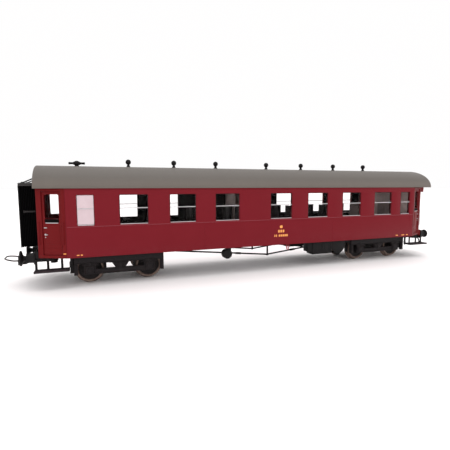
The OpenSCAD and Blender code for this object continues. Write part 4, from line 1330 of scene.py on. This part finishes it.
def bogie(body, x):
    """A bogie's softened frame with axle boxes, springs, bolts and slung details on both faces."""
    bm = softened(body + "_frame", 0.12)
    points = []
    for side in (RIGHT, LEFT):
        face = side * FRAME_Y

        def place(u, v, d):
            return Vector((x + u, face - side * d, v))

        for end in (REAR, FRONT):
            axle = end * WHEELBASE / 2
            placed_block(bm, place, (axle - 1.75, AXLE_Z - 1.6, -0.42), (axle + 1.75, AXLE_Z + 1.75, 0.3),
                         0.3)
            lathe(bm, [(0, -0.3), (1.32, -0.3), (1.32, 0.12), (1.15, 0.2), (0.95, 0.2), (0.9, 0.13),
                       (0.55, 0.13),
                       (0.5, 0.18), (0, 0.18)], place(axle, AXLE_Z, -0.4), (0, side, 0), 28)
            for u in (-2.15, 2.15):
                placed_block(bm, place, (axle + u - 0.22, AXLE_Z - 1.75, -0.3),
                             (axle + u + 0.22, AXLE_Z + 2.9, 0.2), 0.08)
            for k in range(5):
                half = 3.6 - 0.55 * k
                placed_block(bm, place, (axle - half, AXLE_Z + 2.05 + 0.23 * k, -0.4 + 0.02 * k),
                             (axle + half, AXLE_Z + 2.24 + 0.23 * k, 0.1), 0.05)
            placed_block(bm, place, (axle - 0.45, AXLE_Z + 1.9, -0.5), (axle + 0.45, AXLE_Z + 3.3, 0.1), 0.1)
            points += [(place(axle + u, AXLE_Z + v, -0.42), (0, side, 0)) for u in (-1.4, 1.4)
                       for v in (-1.25, 1.4)]
            guard = end * (FRAME_X - 0.75)
            placed_block(bm, place, (guard - 0.32, AXLE_Z - 1.7, -0.22), (guard + 0.32, AXLE_Z + 3.0, 0.1),
                         0.1)
            points += [(place(guard, AXLE_Z + v, -0.22), (0, side, 0)) for v in (0.2, 2.2)]
        placed_block(bm, place, (-FRAME_X + 0.35, AXLE_Z + 5.15, -0.3), (FRAME_X - 0.35, AXLE_Z + 5.5, 0.2),
                     0.1)
        placed_block(bm, place, (-FRAME_X + 0.35, AXLE_Z + 2.8, -0.22), (FRAME_X - 0.35, AXLE_Z + 3.05, 0.2),
                     0.08)
        for k in range(-8, 9):
            if abs(abs(k * 2.1) - WHEELBASE / 2) > 1.0:
                points.append((place(k * 2.1, AXLE_Z + 4.1, 0), (0, side, 0)))
        for k in range(6):
            half = 3.1 - 0.28 * k
            z = AXLE_Z + 2.3 - 0.36 * k
            placed_block(bm, place, (-half, z - 0.15, -0.45 + 0.03 * k), (half, z + 0.15, 0.1), 0.07)
        placed_block(bm, place, (-0.55, AXLE_Z + 0.2, -0.55), (0.55, AXLE_Z + 2.7, 0.1), 0.12)
        placed_block(bm, place, (-10.2, AXLE_Z - 0.05, -0.22), (10.2, AXLE_Z + 0.2, 0.1), 0.07)
        placed_block(bm, place, (-10.2, AXLE_Z - 1.8, -0.22), (10.2, AXLE_Z - 1.5, 0.1), 0.07)
        points += [(place(u, AXLE_Z - 0.8, 0), (0, side, 0)) for u in (-8.6, -5.6, 5.6, 8.6)]
    if x < 0:
        brake_beam(bm, x - FRAME_X - 1.0)
    add(body + "_frame_sprung", bm, BOGIE_BLACK, body, replaces=[body + "_frame"])
    repeated(body + "_bolts", bolt(0.24, 0.2), points, BOGIE_BLACK, body)
    add(body + "_brake_blocks", softened(body + "_brakes", 0.12), BOGIE_BLACK, body,
        replaces=[body + "_brakes"])


def brake_beam(bm, x):
    """A sloping brake hanger on each side and the beam between them, past a bogie's end."""
    for side in (RIGHT, LEFT):
        foot = Vector((x + 0.1, side * 10.4, AXLE_Z - 0.9))
        head = Vector((x + 0.6, side * 11.4, AXLE_Z + 4.9))
        ribbon(bm, foot, head, 1.3, 0.9)
        block(bm, (x - 0.75, side * 9.6 - 0.9, AXLE_Z + 1.2), (x + 0.8, side * 9.6 + 0.9, AXLE_Z + 3.6), 0.2)
        block(bm, (x - 0.3, side * 10.9 - 0.5, AXLE_Z + 4.2), (x + 1.4, side * 10.9 + 0.5, AXLE_Z + 5.2),
              0.15)
    tube(bm, [(x + 0.2, -10.4, AXLE_Z + 2.2), (x + 0.2, 10.4, AXLE_Z + 2.2)], 0.5, 10)


def wheelset(number):
    """Rims, discs, bosses and axle. Wheel profiles are (radius, distance out from the wheel's back)."""
    place = joint(f"wheelset_{number}_spin")
    low, high = box(f"wheels_{number}")
    flange = (high.z - low.z) / 2
    tread = flange - 0.7
    back = high.y - 2.8
    body = f"wheelset_{number}"
    rims, discs = bmesh.new(), bmesh.new()
    for side in (RIGHT, LEFT):
        origin = Vector((place.x, side * back, place.z))
        along = (0, side, 0)
        rim = [(tread - 1.0, 0.02), (flange - 0.28, 0.02), (flange - 0.1, 0.1), (flange, 0.28),
               (flange - 0.04, 0.44),
               (flange - 0.28, 0.62), (tread + 0.12, 0.76), (tread + 0.04, 0.95), (tread, 1.3),
               (tread - 0.05, 2.55),
               (tread - 0.16, 2.72), (tread - 0.32, 2.78), (tread - 0.75, 2.78), (tread - 0.86, 2.7),
               (tread - 0.95, 1.9)]
        lathe(rims, rim, origin, along, 64, closed=True)
        disc = [(0.8, 0.0), (1.9, 0.0), (2.0, 0.12), (2.05, 0.85), (2.4, 1.0), (tread - 1.4, 0.85),
                (tread - 0.93, 0.8), (tread - 0.93, 1.9), (tread - 1.4, 1.75), (2.4, 1.6), (2.05, 1.8),
                (1.95, 2.6),
                (1.75, 2.78), (0.8, 2.78)]
        lathe(discs, disc, origin, along, 48, closed=True)
    add(f"wheel_rims_{number}", rims, WHEEL, body, replaces=[f"wheels_{number}"], sharp=40)
    add(f"wheel_discs_{number}", discs, DISC, body, sharp=40)
    pins = [((place.x + 3.3 * math.cos(a), side * (back + 1.62), place.z + 3.3 * math.sin(a)), (0, side, 0))
            for side in (RIGHT, LEFT) for a in (math.radians(30 + 60 * k) for k in range(6))]
    repeated(f"wheel_bosses_{number}", bolt(0.34, 0.22), pins, DISC, body)
    axle_low, axle_high = box(f"axle_{number}")
    reach = axle_high.y
    r = (axle_high.x - axle_low.x) / 2
    shaft = [(0, -reach), (0.45, -reach + 0.02), (0.63, -reach + 0.3), (0.63, -reach + 1.1),
             (r, -reach + 1.15),
             (r, -back - 0.1), (r + 0.35, -back + 0.1), (r + 0.35, -back + 1.4), (r, -back + 1.7)]
    whole = shaft + [(radius, -y) for radius, y in reversed(shaft)]
    bm = bmesh.new()
    lathe(bm, whole, (place.x, 0, place.z), (0, 1, 0), 32)
    add(f"axle_shaft_{number}", bm, STEEL, body, replaces=[f"axle_{number}"])


# ---------- couplings ----------

HEAD_HALF = 3.0
BOW_GAP = 0.2
BOW_WIRE_R = 0.3
BOW_LENGTH = 7.2
BOW_SLOPE = math.radians(11)
BOW_BEND_R = 3.3


def coupling(end, name):
    """A close coupling's shank and head with its hook and ribs, and the wire bow that swings on it."""
    x0 = joint(f"{name}_coupling_swing").x
    pivot = joint(f"{name}_bow_lift")
    bm = softened(f"{name}_coupler", 0.14)
    low, high = box(f"{name}_coupler")
    reach = high.x if end == FRONT else -low.x
    for y in (-1.05, 1.05):
        block(bm, (end * (abs(x0) + 2.4), y - 0.25, high.z - 0.6),
              (end * (reach - 3.6), y + 0.25, high.z - 0.25), 0.08)
    for y in (-2.35, 2.35):
        outline = [(reach - 0.1, low.z + 0.05), (reach - 0.1, high.z + 0.75), (reach - 0.75, high.z + 0.85),
                   (reach - 1.7, high.z - 0.1), (reach - 2.9, high.z - 0.5), (reach - 2.9, low.z + 0.5)]
        rings = [[Vector((end * u, y + d, v)) for u, v in outline] for d in (-0.55, 0.55)]
        cheek = bmesh.new()
        loft(cheek, rings)
        bevel(cheek, list(cheek.edges), 0.1)
        join(bm, cheek)
    hook = [(reach - 1.9, high.z - 0.3), (reach - 0.9, high.z + 0.5), (reach - 0.2, high.z + 0.45),
            (reach + 0.0, high.z - 0.25)]
    tube(bm, [Vector((end * u, 0, v)) for u, v in hook], 0.42, 10)
    add(f"{name}_coupling_head", bm, BLACK, f"{name}_coupling", replaces=[f"{name}_coupler"])

    bow_high = box(f"{name}_bow")[1]
    wire = BOW_WIRE_R
    wide = bow_high.y - wire
    narrow = HEAD_HALF + BOW_GAP + wire
    length = BOW_LENGTH - wire
    bend = BOW_BEND_R

    def at(u, v):
        return pivot + Vector((end * u * math.cos(BOW_SLOPE), v, u * math.sin(BOW_SLOPE)))

    tip = [(length - bend + bend * math.cos(math.radians(a)), wide - bend + bend * math.sin(math.radians(a)))
           for a in range(0, 91, 15)]
    half = [(length, 0), (length, wide - bend)] + tip[1:] + [(3.3, wide), (2.8, wide - 0.15),
                                                             (1.3, narrow + 0.15),
                                                             (0.7, narrow), (-0.3, narrow)]
    path = [(u, -v) for u, v in reversed(half[1:])] + half
    bm = bmesh.new()
    tube(bm, [at(u, v) for u, v in path], wire, 12)
    for side in (RIGHT, LEFT):
        lathe(bm, [(0, -0.3), (0.55, -0.3), (0.62, -0.2), (0.62, 0.2), (0.55, 0.3), (0, 0.3)],
              pivot + Vector((0, side * narrow, 0)), (0, 1, 0), 18)
    lathe(bm, [(0, -3.4), (0.34, -3.4), (0.34, 3.4), (0, 3.4)], pivot, (0, 1, 0), 18)
    add(f"{name}_bow_wire", bm, WIRE, f"{name}_loop", replaces=[f"{name}_bow"])


# ---------- inside ----------

def seats():
    """High-backed benches with cushions, bases and padded backs."""
    bm = bmesh.new()
    for low, high in islands("seats"):
        floor = low.z
        middle = (low.x + high.x) / 2
        deep = (high.x - low.x) > 8
        back_x = middle if deep else (low.x + 0.6 if seat_faces_front(low, high) else high.x - 0.6)
        block(bm, (back_x - 0.45, low.y, floor), (back_x + 0.45, high.y, high.z), 0.2)
        for face in (REAR, FRONT):
            far = low.x if face == REAR else high.x
            if abs(far - back_x) < 2:
                continue
            block(bm, (back_x + face * 0.3, low.y + 0.1, floor + 1.2), (far, high.y - 0.1, floor + 5.0),
                  0.55, 3)
            block(bm, (back_x + face * 0.4, low.y + 0.4, floor),
                  (far - face * 1.0, high.y - 0.4, floor + 1.3), 0.1)
            for part in range(2):
                y0 = low.y + 0.25 + part * (high.y - low.y - 0.3) / 2
                y1 = y0 + (high.y - low.y - 0.7) / 2
                block(bm, (back_x + face * 0.2, y0, floor + 5.2), (back_x + face * 0.62, y1, high.z - 0.5),
                      0.2, 3)
    add("seat_benches", bm, SEAT, replaces=["seats"])


def seat_faces_front(low, high):
    """Whether a single bench lies to the front of its back, which stands at the nearest partition."""
    walls = [(a.x + b.x) / 2 for a, b in islands("partitions")]
    return min(abs(low.x - w) for w in walls) < min(abs(high.x - w) for w in walls)


def partitions_and_tables():
    add("partition_walls", softened("partitions", 0.15), PARTITION_GREY, replaces=["partitions"])
    bm = softened("tables", 0.15)
    for low, high in islands("tables"):
        x, y = (low.x + high.x) / 2, (low.y + high.y) / 2
        tube(bm, [(x, y, low.z + 0.1), (x, y * 1.15, low.z - 3.5)], 0.22, 8)
    add("window_tables", bm, SEAT, replaces=["tables"])


def kept_nodes():
    """CAD nodes whose shape is right, given their finish."""
    finishes = {
        BLACK: ("underframe", "side_sills", "centre_sills", "cross_members", "coupler_mounts"),
        STEEL: ("bogie_pivots",),
        BALLAST: ("ballast_weight",),
        WALL_BROWN: ("interior_floor",),
        CLEAR: ("right_window_glass", "left_window_glass", "door_glass"),
        FROSTED: ("toilet_glass",),
    }
    for finish, names in finishes.items():
        for name in names:
            obj = frame["nodes"][name]
            obj.data.materials.clear()
            obj.data.materials.append(finish.material)


camera()
studio()
for side, hand in HANDS:
    side_panel(side, hand)
for side, hand in HANDS:
    window_rims(side, hand)
inner_shade_sheets()
gold_marks()
entrances()
entrance_doors()
gangway_doors()
end_handrails()
roof()
roof_fittings()
gangways()
bellows_cap()
buffers()
buffer_beams()
footboards()
drain_pipes()
truss()
dynamo()
battery_boxes()
brake_gear()
bogie("rear_bogie", -PIVOT_X)
bogie("front_bogie", PIVOT_X)
for number in range(1, 5):
    wheelset(number)
coupling(REAR, "rear")
coupling(FRONT, "front")
seats()
partitions_and_tables()
kept_nodes()
